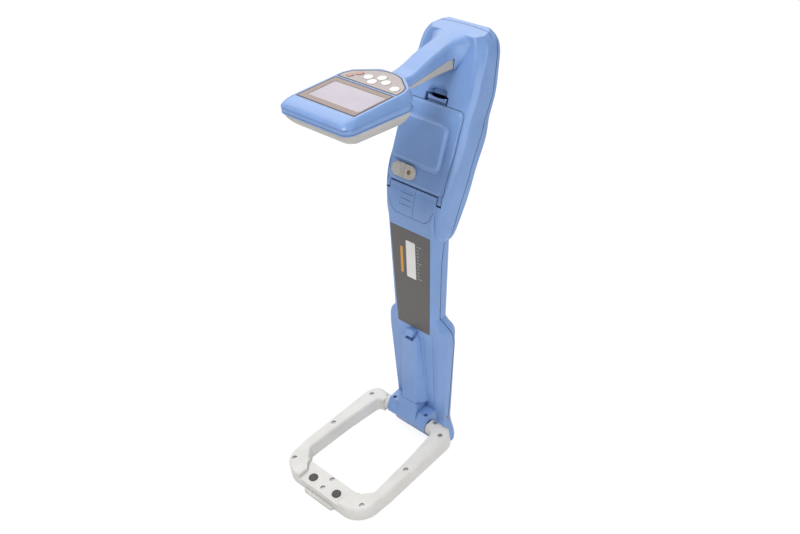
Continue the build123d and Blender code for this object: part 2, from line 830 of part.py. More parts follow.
def spine_prism(inset, low, high):
    """Tapered channel on the front of the boot, wider at its lower end."""
    with BuildPart() as prism:
        for z in (low, high):
            base = spine_base_half - spine_taper * (z - spine_bottom_z) - inset
            nose = spine_half_width - inset
            with BuildSketch(Plane.XY.offset(z)) as outline:
                with BuildLine():
                    Polyline(
                        (-base, 0),
                        (-base, -18 + inset),
                        (-nose, spine_front_y + inset),
                        (nose, spine_front_y + inset),
                        (base, -18 + inset),
                        (base, 0),
                        close=True,
                    )
                make_face()
                fillet(outline.vertices().group_by(Axis.Y)[0], 3)
        loft(ruled=True)
    return prism.part


clip_half = 7.0
with BuildPart() as bracket_spine:
    add(spine_prism(0.0, spine_bottom_z + 18.2, spine_top_z))
    add(spine_prism(2.4, spine_bottom_z + 22, spine_top_z - 14), mode=Mode.SUBTRACT)
    with BuildSketch(Plane.YZ.offset(-60)):
        with BuildLine():
            Polyline(
                (spine_front_y - 1, spine_top_z - 8),
                (spine_front_y + 9, spine_top_z + 1),
                (spine_front_y - 1, spine_top_z + 1),
                close=True,
            )
        make_face()
    extrude(amount=120, mode=Mode.SUBTRACT)
    for side in (-1, 1):
        with BuildSketch(Plane.XZ.offset(60)):
            with BuildLine():
                Polyline(
                    (side * (spine_half_width - 3), spine_top_z + 1),
                    (side * (spine_base_half + 1), spine_top_z + 1),
                    (side * (spine_base_half + 1), spine_top_z - 14),
                    close=True,
                )
            make_face()
        extrude(amount=-60, mode=Mode.SUBTRACT)
    add(outer_body, mode=Mode.SUBTRACT)
    with BuildSketch(Plane.XZ.offset(60)):
        with Locations((0, spine_top_z - 4)):
            Rectangle(2 * clip_half + 1, 10)
    extrude(amount=-(60 + spine_front_y + 6), mode=Mode.SUBTRACT)
bracket_spine.part.label = "bracket_spine"
export_step(bracket_spine.part, "parts/bracket_spine.step")

with BuildPart() as bracket_clip:
    with BuildSketch(Plane.YZ.offset(-clip_half)):
        with BuildLine():
            Polyline(
                (-4, spine_top_z),
                (-4, spine_top_z + 7.5),
                (spine_front_y + 3, spine_top_z + 7.5),
                (spine_front_y - 1.5, spine_top_z + 3),
                (spine_front_y - 1.5, spine_top_z - 1.5),
                (spine_front_y + 1.5, spine_top_z - 1.5),
                (spine_front_y + 3, spine_top_z),
                close=True,
            )
        make_face()
    extrude(amount=2 * clip_half)
    add(outer_body, mode=Mode.SUBTRACT)
    add(placed(label_block(0.2, -5, 5), label_plane), mode=Mode.SUBTRACT)
bracket_clip.part.label = "bracket_clip"
export_step(bracket_clip.part, "parts/bracket_clip.step")

# antenna loop, drawn flat: x across, -y forward from the hinge, z up from the hinge axis
half_high = loop_height / 2
wide = loop_half_width
loop_inner_front = loop_front - loop_front_bar


def loop_opening(inset):
    """Space inside the frame, grown by the inset, with rounded rear corners."""
    with BuildSketch(mode=Mode.PRIVATE) as opening:
        with BuildLine():
            Polyline(
                (-wide + 29 - inset, -11.5 + inset),
                (wide - 29 + inset, -11.5 + inset),
                (wide - 22.5 + inset, -69),
                (wide - 18 + inset, -loop_inner_front + 15),
                (wide - 32 + inset, -loop_inner_front - inset),
                (-wide + 32 - inset, -loop_inner_front - inset),
                (-wide + 18 - inset, -loop_inner_front + 15),
                (-wide + 22.5 - inset, -69),
                close=True,
            )
        make_face()
        fillet(opening.vertices().group_by(Axis.Y)[-1], loop_inner_elbow + inset)
    return opening.sketch


def loop_face(inset):
    """Frame outline with the rear gap for the hinge block, narrowed on every side by the inset."""
    with BuildSketch(mode=Mode.PRIVATE) as ring:
        with BuildLine():
            Polyline(
                (-wide + 2, loop_back),
                (wide - 2, loop_back),
                (wide, -loop_front + 59),
                (wide - 4, -loop_front),
                (-wide + 4, -loop_front),
                (-wide, -loop_front + 59),
                close=True,
            )
        make_face()
        fillet(ring.vertices().group_by(Axis.Y)[0], 36)
        fillet(ring.vertices().group_by(Axis.Y)[-1], loop_elbow)
        if inset:
            offset(amount=-inset)
        add(loop_opening(inset), mode=Mode.SUBTRACT)
        gap_half = block_half_width + 0.6 + (22 if inset else 0)
        with Locations((0, 5)):
            Rectangle(2 * gap_half, 50, mode=Mode.SUBTRACT)
    return ring.sketch


with BuildPart() as knuckle_trim:
    for x0, x1, y0 in ((-120, 120, 0), (-knuckle_end, knuckle_end, -15)):
        with BuildSketch(Plane(origin=(x0, 0, 0), x_dir=(0, 1, 0), z_dir=(1, 0, 0))):
            with Locations(((40 + y0) / 2, 0)):
                Rectangle(40 - y0, 60)
            Circle(half_high - 0.2, mode=Mode.SUBTRACT)
        extrude(amount=x1 - x0)
with BuildPart() as loop_recess_block:
    with BuildSketch(Plane.XY.offset(half_high - loop_recess)):
        with BuildLine():
            Polyline(
                (-53, -loop_inner_front + 2),
                (53, -loop_inner_front + 2),
                (51, -loop_inner_front - 7),
                (42, -loop_inner_front - 16),
                (43, -loop_lip_reach - 5),
                (-43, -loop_lip_reach - 5),
                (-42, -loop_inner_front - 16),
                (-51, -loop_inner_front - 7),
                close=True,
            )
        make_face()
    extrude(amount=20)

screw_spots = [
    (wide - 37.8, 3.9, 0.0),
    (wide - 14.1, -11.4, 0.0),
    (wide - 9.6, -loop_front + 106.4, 0.0),
    (wide - 14.7, -loop_front + 19.7, 0.0),
]
loop_screw_spots = [(side * x, y, drop) for x, y, drop in screw_spots for side in (-1, 1)]
loop_screw_spots += [(0, -loop_inner_front - 5.0, loop_recess), (0, -loop_front + 9.5, loop_recess)]
bumper_seat = half_high - loop_recess - 1.0
loop_screw_length = 3.4
loop_screw_sink = 1.6

with BuildPart() as loop_upper_local:
    add(loop_face(0))
    extrude(amount=loop_height, both=True)
    add(local_box(-150, 150, -300, 60, -loop_height, -half_high + loop_split), mode=Mode.SUBTRACT)
    add(local_box(-150, 150, -300, 60, half_high, loop_height + 1), mode=Mode.SUBTRACT)
    chamfer(loop_upper_local.faces().sort_by(Axis.Z)[-1].edges(), 2.0)
    with BuildSketch(Plane.XY.offset(-half_high)):
        add(loop_face(loop_wall))
    extrude(amount=loop_height - loop_wall, mode=Mode.SUBTRACT)
    with BuildSketch(Plane.XY.offset(half_high - loop_recess - loop_wall)):
        with Locations((0, -loop_front + loop_front_bar / 2)):
            Rectangle(112, loop_front_bar - 4)
    extrude(amount=loop_recess)
    for x, y, drop in loop_screw_spots:
        add(local_rod(x, y, -0.5, half_high - drop - 1.0, screw_hole_radius + 1.5))
    add(loop_recess_block.part, mode=Mode.SUBTRACT)
    add(knuckle_trim.part, mode=Mode.SUBTRACT)
    for x, y, drop in loop_screw_spots:
        seat = half_high - drop - loop_screw_sink - loop_screw_length
        add(local_rod(x, y, seat, half_high + 1, screw_hole_radius), mode=Mode.SUBTRACT)
    for side in (-1, 1):
        x0 = side * (block_half_width - 10)
        x1 = side * (block_half_width + 17.5)
        bore = cross_rod(min(x0, x1), max(x0, x1), 0, 0, hinge_pin_radius + pin_clearance)
        add(bore, mode=Mode.SUBTRACT)
        pocket = local_rod(side * bumper_x, -bumper_v, bumper_seat, half_high, bumper_radius)
        add(pocket, mode=Mode.SUBTRACT)
with BuildPart() as loop_upper_shell:
    add(placed(loop_upper_local.part, loop_plane))
loop_upper_shell.part.label = "loop_upper_shell"
export_step(loop_upper_shell.part, "parts/loop_upper_shell.step")

with BuildPart() as loop_lower_local:
    with BuildSketch(Plane.XY.offset(-half_high)):
        add(loop_face(0))
    extrude(amount=loop_split)
    with BuildSketch(Plane.XY.offset(-half_high)):
        with Locations((0, -loop_lip_reach + 5)):
            RectangleRounded(2 * lip_half_width, 10, 4)
    extrude(amount=loop_split - 1)
    with BuildSketch(Plane.XY.offset(-half_high + 2.5)):
        add(loop_face(loop_wall))
    extrude(amount=loop_split, mode=Mode.SUBTRACT)
    add(knuckle_trim.part, mode=Mode.SUBTRACT)
with BuildPart() as loop_lower_shell:
    add(placed(loop_lower_local.part, loop_plane))
loop_lower_shell.part.label = "loop_lower_shell"
export_step(loop_lower_shell.part, "parts/loop_lower_shell.step")

with BuildPart() as coil_local:
    with BuildSketch(Plane.XY.offset(-half_high + 2.5)):
        add(loop_face(6.5))
    extrude(amount=8)
with BuildPart() as loop_coil:
    add(placed(coil_local.part, loop_plane))
loop_coil.part.label = "loop_coil"
export_step(loop_coil.part, "parts/loop_coil.step")

with BuildPart() as loop_screws:
    for x, y, drop in loop_screw_spots:
        screw_top = half_high - drop - loop_screw_sink
        rod = local_rod(x, y, screw_top - loop_screw_length, screw_top, screw_head_radius)
        add(placed(rod, loop_plane))
loop_screws.part.label = "loop_screws"
export_step(loop_screws.part, "parts/loop_screws.step")

bumper_top = half_high - loop_recess + bumper_stand
with BuildPart() as bumpers_local:
    for side in (-1, 1):
        add(local_rod(side * bumper_x, -bumper_v, bumper_seat, bumper_top, bumper_radius))
    fillet(bumpers_local.faces().group_by(Axis.Z)[-1].edges(), bumper_round)
with BuildPart() as loop_bumpers:
    add(placed(bumpers_local.part, loop_plane))
loop_bumpers.part.label = "loop_bumpers"
export_step(loop_bumpers.part, "parts/loop_bumpers.step")

# head and handle: flat outlines at a depth below the top face, then placed on the tilted head plane
# outline: width lost at the side and at the front, how early the side ends, shoulder corner, rear edge
neck_half = 20.0
top_edge = (7.0, 17.5, 6.0, (49.5, 61.5), 84.0)
top_roll = (2.5, 6.0, 3.0, (52.7, 62.0), 85.5)
rim_edge = (0.0, 0.0, 0.0, (54.5, 62.0), 88.0)
belly_side = (2.3, 2.8, 2.0, (52.5, 60.5), 86.0)
belly_foot = (13.0, 17.0, 8.0, (42.0, 54.0), 80.0)
# level: depth in the middle, tilt of the level to the rear, outline, how much narrower it is
roll_levels = [
    (0.0, 0.0, top_edge, 0.0),
    (4.0, 0.8, top_roll, 0.0),
    (head_crease_depth, 1.5, rim_edge, 0.0),
]
band_levels = [
    (head_crease_depth, 1.5, rim_edge, 0.0),
    (head_crease_depth + 1.5, 2.0, rim_edge, 1.7),
    (head_split_depth - 5.9, 2.8, rim_edge, 2.3),
    (head_split_depth - 2.4, 3.5, rim_edge, 1.5),
    (head_split_depth - 1.5, 3.7, rim_edge, 0.1),
    (head_split_depth + 1.0, head_split_tilt, rim_edge, 0.1),
]
collar_levels = [
    (head_split_depth - 9.0, head_split_tilt, rim_edge, 1.2),
    (head_split_depth, head_split_tilt, rim_edge, 1.2),
]
belly_levels = [
    (head_split_depth, head_split_tilt, rim_edge, 1.2),
    (head_split_depth + 6.0, head_split_tilt, belly_side, 1.2),
    (head_depth, head_split_tilt, belly_foot, 0.0),
]


def head_outline(level, inset):
    """Rounded outline of the head at one level, narrowed all round by the inset."""
    down, tilt, outline_sizes, narrower = level
    side_loss, front_loss, early, shoulder, back = outline_sizes
    shrink = narrower + inset
    half = head_half_width - side_loss - shrink
    front = -head_front + front_loss + shrink
    side_back = head_side_back - early - 0.3 * shrink
    sx = shoulder[0] - 0.9 * shrink
    sy = shoulder[1] - 0.5 * shrink
    rear = back - shrink
    corners = [(-half, front), (half, front), (half, side_back), (sx, sy)]
    corners += [(neck_half, rear), (-neck_half, rear), (-sx, sy), (-half, side_back)]
    level_normal = (0, sin(radians(tilt)), cos(radians(tilt)))
    with BuildSketch(Plane(origin=(0, 0, -down), x_dir=(1, 0, 0), z_dir=level_normal)) as outline:
        with BuildLine():
            Polyline(*corners, close=True)
        make_face()
        rows = outline.vertices().group_by(Axis.Y)
        fillet(rows[1] + rows[2] + rows[3], 9)
        fillet(outline.vertices().group_by(Axis.Y)[0], head_corner)
    return outline.sketch


def head_loft(levels, inset, ruled):
    with BuildPart() as lump:
        for level in levels:
            add(head_outline(level, inset))
        loft(ruled=ruled)
    return lump.part


def moved_level(level, down):
    """The same level, further down."""
    return (level[0] + down,) + level[1:]


head_roll = head_loft(roll_levels, 0.0, False)
head_band = head_loft(band_levels, 0.0, True)
head_collar = head_loft(collar_levels, 0.0, True)
head_belly = head_loft(belly_levels, 0.0, False)
roof_hollow = head_loft([(head_roof, 0.0, top_roll, 0.0), roll_levels[2]], head_wall + 0.6, True)
band_hollow = head_loft([band_levels[0], moved_level(band_levels[-1], 1.0)], head_wall + 2.3, True)
collar_hollow = head_loft([moved_level(collar_levels[0], -1.0), collar_levels[1]], head_wall, True)
belly_hollow = head_loft(belly_levels[:2] + [moved_level(belly_levels[2], -head_wall)], head_wall, False)


def belly_depth(y):
    """Depth of the flat underside below the head's top face."""
    return head_depth + y * tan(radians(head_split_tilt))


# handle bar from the head into the wing: y, underside and top above the head's origin, extra half width
grip_stations = [
    (-95, -18.0, 0.5, -2.5),
    (-60, -17.0, 2.5, -1.0),
    (-40, -15.5, 4.8, 0.0),
    (-20, -13.7, 12.6, 0.0),
    (0, -11.7, 20.4, 0.0),
    (20, -10.3, 25.0, 0.3),
    (44, -9.5, 28.0, 3.5),
    (62, -10.5, 30.0, 11.0),
]


def grip_solid(inset):
    with BuildPart() as grip:
        for y, low, high, wider in grip_stations:
            half = grip_half_width + wider - inset
            z0 = head_z + low + inset
            z1 = head_z + high - inset
            with BuildSketch(Plane(origin=(0, y, 0), x_dir=(1, 0, 0), z_dir=(0, -1, 0))) as outline:
                with BuildLine():
                    Polyline((-half, z0), (half, z0), (half, z1), (-half, z1), close=True)
                make_face()
                fillet(outline.vertices().group_by(Axis.Y)[-1], grip_top_round - inset)
                fillet(outline.vertices().group_by(Axis.Y)[0], grip_low_round - inset)
        loft()
    return grip.part


# parting surface of the handle shells: along the head's split, then up the handle
split_plane_z = head_z - head_split_depth * cos(radians(head_tilt))
split_plane_y = head_y + head_split_depth * sin(radians(head_tilt))
split_rise = tan(radians(head_tilt - head_split_tilt))
split_bend_y = head_y + head_side_back + 1.0
head_seam = 0.3


def head_side(sign):
    """Block above (+1) or below (-1) the parting surface of the handle shells."""
    shift = sign * head_seam / 2
    near_y = split_bend_y - 160
    far_y = split_bend_y + 220
    bend_z = split_plane_z + (split_bend_y - split_plane_y) * split_rise
    near_z = bend_z - 160 * split_rise
    far_z = bend_z + 220 * tan(radians(grip_slope))
    line = [(near_y, near_z + shift), (split_bend_y, bend_z + shift), (far_y, far_z + shift)]
    end = head_z + sign * 200
    with BuildPart() as block:
        with BuildSketch(Plane.YZ):
            with BuildLine():
                Polyline(*line, (far_y, end), (near_y, end), close=True)
            make_face()
        extrude(amount=100, both=True)
    return block.part


def keypad_block(grow, low, high):
    half_row = [(52, keypad_front - grow), (51.5, 48), (47, 59), (22, 77.5), (8, keypad_back)]
    right = [(x + grow, y + (grow if y > 50 else 0)) for x, y in half_row]
    left = [(-x, y) for x, y in reversed(right)]
    with BuildPart() as block:
        with BuildSketch(Plane.XY.offset(low)):
            with BuildLine():
                Polyline(*right, *left, close=True)
            make_face()
        extrude(amount=high - low)
    return block.part


small_key_radius = 5.0
flange_extra = 0.8
flange_thick = 1.4
cluster_x = 0.9
cluster_y = 55.2
cluster_reach_x = 2 * (key_radius + flange_extra) + 1.0
cluster_reach_y = key_radius + flange_extra + 0.2
cluster_twist = 1.4
key_spots = [
    ("key_brown_front", -39.0, 47.0, small_key_radius),
    ("key_brown_rear", -32.1, 57.6, small_key_radius),
    ("key_white_left", cluster_x - cluster_reach_x, cluster_y, key_radius),
    ("key_white_rear", cluster_x + cluster_twist, cluster_y + cluster_reach_y, key_radius),
    ("key_white_front", cluster_x - cluster_twist, cluster_y - cluster_reach_y, key_radius),
    ("key_white_right", cluster_x + cluster_reach_x, cluster_y, key_radius),
    ("key_white_outer", 38.0, 48.0, key_radius),
]
grip_outer = grip_solid(0.0)
grip_hollow = grip_solid(head_wall)

with BuildPart() as handle_top_shell:
    add(placed(head_roll, head_plane))
    add(placed(head_band, head_plane))
    add(grip_outer)
    add(placed(roof_hollow, head_plane), mode=Mode.SUBTRACT)
    add(placed(band_hollow, head_plane), mode=Mode.SUBTRACT)
    add(grip_hollow, mode=Mode.SUBTRACT)
    add(head_side(1), mode=Mode.INTERSECT)
    add(outer_body, mode=Mode.SUBTRACT)
    seat_half = display_half + 0.15
    seat_reach = display_reach + 0.15
    bezel_seat = local_box(-seat_half, seat_half, -seat_reach, seat_reach, -panel_sink, 5)
    add(placed(bezel_seat, head_plane), mode=Mode.SUBTRACT)
    hole_half = display_half - 4
    hole_reach = display_reach - 4
    opening = local_box(-hole_half, hole_half, -hole_reach, hole_reach, -12, 5)
    add(placed(opening, head_plane), mode=Mode.SUBTRACT)
    add(placed(keypad_block(0.15, -panel_sink, 5), head_plane), mode=Mode.SUBTRACT)
    for name, x, y, radius in key_spots:
        well = local_rod(x, y, -8, 0, radius + flange_extra + 0.6)
        add(placed(well, head_plane), mode=Mode.SUBTRACT)
handle_top_shell.part.label = "handle_top_shell"
export_step(handle_top_shell.part, "parts/handle_top_shell.step")

head_screw_spots = [(-40, -30), (40, -30), (-36, 20), (36, 20)]
with BuildPart() as handle_bottom_shell:
    add(placed(head_collar, head_plane))
    add(placed(head_belly, head_plane))
    add(grip_outer)
    add(placed(collar_hollow, head_plane), mode=Mode.SUBTRACT)
    add(placed(belly_hollow, head_plane), mode=Mode.SUBTRACT)
    add(grip_hollow, mode=Mode.SUBTRACT)
    for x, y in head_screw_spots:
        add(placed(local_rod(x, y, -belly_depth(y) + 1.0, -head_split_depth - 2, 5.0), head_plane))
    add(head_side(-1), mode=Mode.INTERSECT)
    add(outer_body, mode=Mode.SUBTRACT)
    for x, y in head_screw_spots:
        seat = local_rod(x, y, -belly_depth(y) - 1, -belly_depth(y) + 4, screw_head_radius)
        add(placed(seat, head_plane), mode=Mode.SUBTRACT)
handle_bottom_shell.part.label = "handle_bottom_shell"
export_step(handle_bottom_shell.part, "parts/handle_bottom_shell.step")

with BuildPart() as head_screws:
    for x, y in head_screw_spots:
        screw_top = -belly_depth(y) + 4
        add(placed(local_rod(x, y, screw_top - 2.6, screw_top, screw_head_radius - 0.2), head_plane))
head_screws.part.label = "head_screws"
export_step(head_screws.part, "parts/head_screws.step")

# display
bezel_stand = 0.3
with BuildPart() as bezel_local:
    with BuildSketch(Plane.XY.offset(-panel_sink)):
        RectangleRounded(2 * display_half, 2 * display_reach, 3)
        with Locations(((window_left + window_right) / 2, (window_front + window_back) / 2)):
            window_wide = window_right - window_left
            RectangleRounded(window_wide, window_back - window_front, 2, mode=Mode.SUBTRACT)
    extrude(amount=panel_sink + bezel_stand)
    chamfer(bezel_local.faces().sort_by(Axis.Z)[-1].edges(), 0.25)
with BuildPart() as display_bezel:
    add(placed(bezel_local.part, head_plane))
display_bezel.part.label = "display_bezel"
export_step(display_bezel.part, "parts/display_bezel.step")

with BuildPart() as lcd_window:
    with BuildSketch(head_plane.offset(-panel_sink)):
        with Locations(((window_left + window_right) / 2, (window_front + window_back) / 2)):
            RectangleRounded(window_wide - 0.2, window_back - window_front - 0.2, 1.9)
    extrude(amount=1.2)
lcd_window.part.label = "lcd_window"
export_step(lcd_window.part, "parts/lcd_window.step")

with BuildPart() as lcd_module:
    module_right = display_half - 4.3
    module = local_box(window_left - 3, module_right, window_front - 4, window_back + 3, -7, -panel_sink)
    add(placed(module, head_plane))
lcd_module.part.label = "lcd_module"
export_step(lcd_module.part, "parts/lcd_module.step")

# keypad with seven separate keys over a switch board
with BuildPart() as keypad_overlay:
    add(placed(keypad_block(0.0, -panel_sink, 0.2), head_plane))
    for name, x, y, radius in key_spots:
        add(placed(local_rod(x, y, -5, 5, radius + key_gap), head_plane), mode=Mode.SUBTRACT)
keypad_overlay.part.label = "keypad_overlay"
export_step(keypad_overlay.part, "parts/keypad_overlay.step")

for name, x, y, radius in key_spots:
    with BuildPart() as key:
        flange_low = -panel_sink - flange_thick
        flange = local_rod(x, y, flange_low, -panel_sink - 0.05, radius + flange_extra)
        add(placed(flange, head_plane))
        with BuildSketch(head_plane.offset(-panel_sink - 0.5)):
            with Locations((x, y)):
                Circle(radius)
        extrude(amount=panel_sink + 0.5 + key_stand)
        fillet(key.faces().sort_by(Axis.Z)[-1].edges(), key_round)
    key.part.label = name
    export_step(key.part, "parts/" + name + ".step")

with BuildPart() as key_board:
    with BuildSketch(head_plane.offset(-6.6)):
        with BuildLine():
            Polyline((-50, 36), (50, 36), (47, 57), (22, 74), (-22, 74), (-47, 57), close=True)
        make_face()
    extrude(amount=1.6)
    for x, y in [(-46, 38), (46, 38), (-22, 70), (22, 70)]:
        add(placed(local_rod(x, y, -6.6, -head_roof, 2.2), head_plane))
    for name, x, y, radius in key_spots:
        add(placed(local_rod(x, y, -5.2, -panel_sink - flange_thick - key_travel - 0.2, 3.0), head_plane))
key_board.part.label = "key_board"
export_step(key_board.part, "parts/key_board.step")

# battery tray with two cells behind the door, in door coordinates
cell_radius = 16.5
cell_length = 61.0
cell_x = 17.5
cell_low = 43.5
tray_half = 39.0
tray_low = 36.0
tray_high = 112.0
tray_floor = -49.7
tray_top = -22.0
tray_wall = 1.8
with BuildPart() as tray_posts:
    for x in (-24, 24):
        for y in (tray_low + 14, tray_high - 14):
            add(placed(local_rod(x, y, tray_floor - 30, tray_floor + 1, 3.5), door_plane))
    add(cavity, mode=Mode.INTERSECT)
with BuildPart() as battery_tray:
    add(tray_posts.part)
    add(placed(local_box(-tray_half, tray_half, tray_low, tray_high, tray_floor, tray_top), door_plane))
    inner_half = tray_half - tray_wall
    inner_low = tray_low + tray_wall
    inner_high = tray_high - tray_wall
    inner = local_box(-inner_half, inner_half, inner_low, inner_high, tray_floor + tray_wall, tray_top + 5)
    add(placed(inner, door_plane), mode=Mode.SUBTRACT)
battery_tray.part.label = "battery_tray"
export_step(battery_tray.part, "parts/battery_tray.step")

cell_axis_depth = tray_floor + tray_wall + cell_radius + 0.3
with BuildPart() as cell_local:
    for x in (-cell_x, cell_x):
        with BuildSketch(Plane(origin=(x, cell_low, cell_axis_depth), x_dir=(1, 0, 0), z_dir=(0, 1, 0))):
            Circle(cell_radius)
        extrude(amount=cell_length)
with BuildPart() as battery_cells:
    add(placed(cell_local.part, door_plane))
battery_cells.part.label = "battery_cells"
export_step(battery_cells.part, "parts/battery_cells.step")

with BuildPart() as contact_local:
    ends = [(tray_low + tray_wall, cell_low), (tray_high - tray_wall, cell_low + cell_length)]
    for wall, end in ends:
        step = 0.8 if end > wall else -0.8
        add(local_box(-30, 30, min(wall, wall + step), max(wall, wall + step), tray_floor + 6, tray_top - 4))
        for x in (-cell_x, cell_x):
            low = min(wall, end)
            with BuildSketch(Plane(origin=(x, low, cell_axis_depth), x_dir=(1, 0, 0), z_dir=(0, 1, 0))):
                Circle(4.5)
            extrude(amount=abs(end - wall))
with BuildPart() as battery_contacts:
    add(placed(contact_local.part, door_plane))
battery_contacts.part.label = "battery_contacts"
export_step(battery_contacts.part, "parts/battery_contacts.step")

# boards and antennas inside the body
board_y = -8.0
board_low = 225.0
board_high = 385.0
with BuildPart() as board_posts:
    for x in (-20, 20):
        for z in (board_low + 12, board_high - 12):
            with BuildSketch(Plane.XZ.offset(-board_y - 1.6)):
                with Locations((x, z)):
                    Circle(2.6)
            extrude(amount=-25)
    add(cavity, mode=Mode.INTERSECT)
with BuildPart() as main_board:
    add(local_box(-28, 28, board_y, board_y + 1.6, board_low, board_high))
    add(board_posts.part)
main_board.part.label = "main_board"
export_step(main_board.part, "parts/main_board.step")

with BuildPart() as lower_saddles:
    for x in (-20, 20):
        add(local_box(x - 4, x + 4, 0, 30, 64, 76))
    add(cavity, mode=Mode.INTERSECT)
with BuildPart() as antenna_lower:
    add(lower_saddles.part)
    add(cross_rod(-32, 32, 0, 70, 5.0))
antenna_lower.part.label = "antenna_lower"
export_step(antenna_lower.part, "parts/antenna_lower.step")

with BuildPart() as vertical_saddles:
    for z in (118, 166):
        add(local_box(-6, 6, 0, 30, z, z + 8))
    add(cavity, mode=Mode.INTERSECT)
with BuildPart() as antenna_vertical:
    add(vertical_saddles.part)
    add(local_rod(0, 0, 108, 184, 5.0))
antenna_vertical.part.label = "antenna_vertical"
export_step(antenna_vertical.part, "parts/antenna_vertical.step")

upper_z = body_height - 48.0
upper_y = front_y(upper_z) + 26.0
with BuildPart() as upper_saddles:
    for x in (-28, 28):
        add(local_box(x - 5, x + 5, upper_y, upper_y + 60, upper_z - 6, upper_z + 6))
    add(cavity, mode=Mode.INTERSECT)
with BuildPart() as antenna_upper:
    add(upper_saddles.part)
    add(cross_rod(-42, 42, upper_y, upper_z, 5.0))
antenna_upper.part.label = "antenna_upper"
export_step(antenna_upper.part, "parts/antenna_upper.step")

# small screws seen from outside
with BuildPart() as foot_screws:
    for side in (-1, 1):
        x0 = side * (boot_bottom_half - 1.7)
        x1 = side * (boot_bottom_half + 1.1)
        add(cross_rod(min(x0, x1), max(x0, x1), 4.0, foot_joint_z + 6, 2.2))
    add(outer_body, mode=Mode.SUBTRACT)
foot_screws.part.label = "foot_screws"
export_step(foot_screws.part, "parts/foot_screws.step")

shell_screw_rows = [
    (28.0, 80.0, boot_rear_y + 1.5),
    (24.0, 300.0, blade_rear_y),
    (38.0, body_height - 160, 57.0),
    (38.0, body_height - 53, 82.5),
]
with BuildPart() as shell_screws:
    for x, z, y in shell_screw_rows:
        for side in (-1, 1):
            with BuildSketch(Plane.XZ.offset(-y - 1.4)):
                with Locations((side * x, z)):
                    Circle(3.4)
            extrude(amount=6)
    add(outer_body, mode=Mode.SUBTRACT)
shell_screws.part.label = "shell_screws"
export_step(shell_screws.part, "parts/shell_screws.step")
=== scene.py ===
"""Looks of the standing marker locator: finishes, print, screws, light and camera round the CAD frame."""
import json
from math import cos, pi, radians, sin, tan

import bmesh
import bpy
from mathutils import Matrix, Vector
from mathutils.bvhtree import BVHTree


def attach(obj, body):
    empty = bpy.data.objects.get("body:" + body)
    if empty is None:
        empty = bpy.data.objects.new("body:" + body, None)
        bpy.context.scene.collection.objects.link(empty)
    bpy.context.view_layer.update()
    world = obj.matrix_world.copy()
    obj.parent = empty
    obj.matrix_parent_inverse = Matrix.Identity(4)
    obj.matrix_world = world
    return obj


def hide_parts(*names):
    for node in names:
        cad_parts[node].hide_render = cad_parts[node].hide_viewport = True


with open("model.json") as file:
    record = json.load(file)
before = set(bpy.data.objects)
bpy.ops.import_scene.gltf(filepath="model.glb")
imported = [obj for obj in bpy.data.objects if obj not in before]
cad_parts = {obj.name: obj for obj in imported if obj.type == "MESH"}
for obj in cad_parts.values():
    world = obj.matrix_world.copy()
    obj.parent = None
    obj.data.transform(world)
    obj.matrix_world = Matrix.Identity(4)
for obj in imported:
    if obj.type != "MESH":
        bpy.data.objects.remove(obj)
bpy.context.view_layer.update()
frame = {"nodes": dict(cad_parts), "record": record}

MM = 0.001
nodes = frame["nodes"]
record = frame["record"]
node_body = {node: body for body, members in record["behaviour"]["bodies"].items() for node in members}
node_slot = {row["node"]: row["material_slot"] for row in record["subparts"]}

FRONT = Vector((0, -1, 0))
REAR = Vector((0, 1, 0))
UP = Vector((0, 0, 1))
DOWN = Vector((0, 0, -1))
RIGHT = Vector((1, 0, 0))
IN_PLACE = Matrix.Identity(4)


# colours

def srgb(code):
    """Linear colour with alpha from a hex code."""
    channels = [int(code[i:i + 2], 16) / 255 for i in (0, 2, 4)]
    return [c / 12.92 if c <= 0.04045 else ((c + 0.055) / 1.055) ** 2.4 for c in channels] + [1.0]


def darker(colour, share):
    return [share * c for c in colour[:3]] + [1.0]


def paler(colour, share, lift):
    return [min(1.0, share * c + lift) for c in colour[:3]] + [1.0]


# shader helpers

def shader(name):
    """Empty material with a principled surface."""
    material = bpy.data.materials.new(name)
    material.use_nodes = True
    tree = material.node_tree
    tree.nodes.clear()
    output = tree.nodes.new("ShaderNodeOutputMaterial")
    surface = tree.nodes.new("ShaderNodeBsdfPrincipled")
    tree.links.new(surface.outputs["BSDF"], output.inputs["Surface"])
    return material, tree, surface


def coordinates(tree):
    return tree.nodes.new("ShaderNodeTexCoord").outputs["Object"]


def noise(tree, where, size, detail=3.0):
    """Noise whose patches are about the given size."""
    made = tree.nodes.new("ShaderNodeTexNoise")
    made.inputs["Scale"].default_value = 1 / size
    made.inputs["Detail"].default_value = detail
    tree.links.new(where, made.inputs["Vector"])
    return made.outputs["Fac"]


def spread(tree, value, low, high, start=0.3, end=0.7):
    """Maps a value from start and end to low and high."""
    made = tree.nodes.new("ShaderNodeMapRange")
    for name, number in (("From Min", start), ("From Max", end), ("To Min", low), ("To Max", high)):
        made.inputs[name].default_value = number
    tree.links.new(value, made.inputs["Value"])
    return made.outputs["Result"]


def math_node(tree, operation, first, second):
    made = tree.nodes.new("ShaderNodeMath")
    made.operation = operation
    for socket, value in zip(made.inputs, (first, second)):
        if isinstance(value, (int, float)):
            socket.default_value = value
        else:
            tree.links.new(value, socket)
    return made.outputs["Value"]


def blend_colours(tree, factor, first, second):
    made = tree.nodes.new("ShaderNodeMix")
    made.data_type = "RGBA"
    for name, value in (("Factor_Float", factor), ("A_Color", first), ("B_Color", second)):
        socket = next(s for s in made.inputs if s.identifier == name)
        if isinstance(value, (int, float, list)):
            socket.default_value = value
        else:
            tree.links.new(value, socket)
    return next(s for s in made.outputs if s.identifier == "Result_Color")


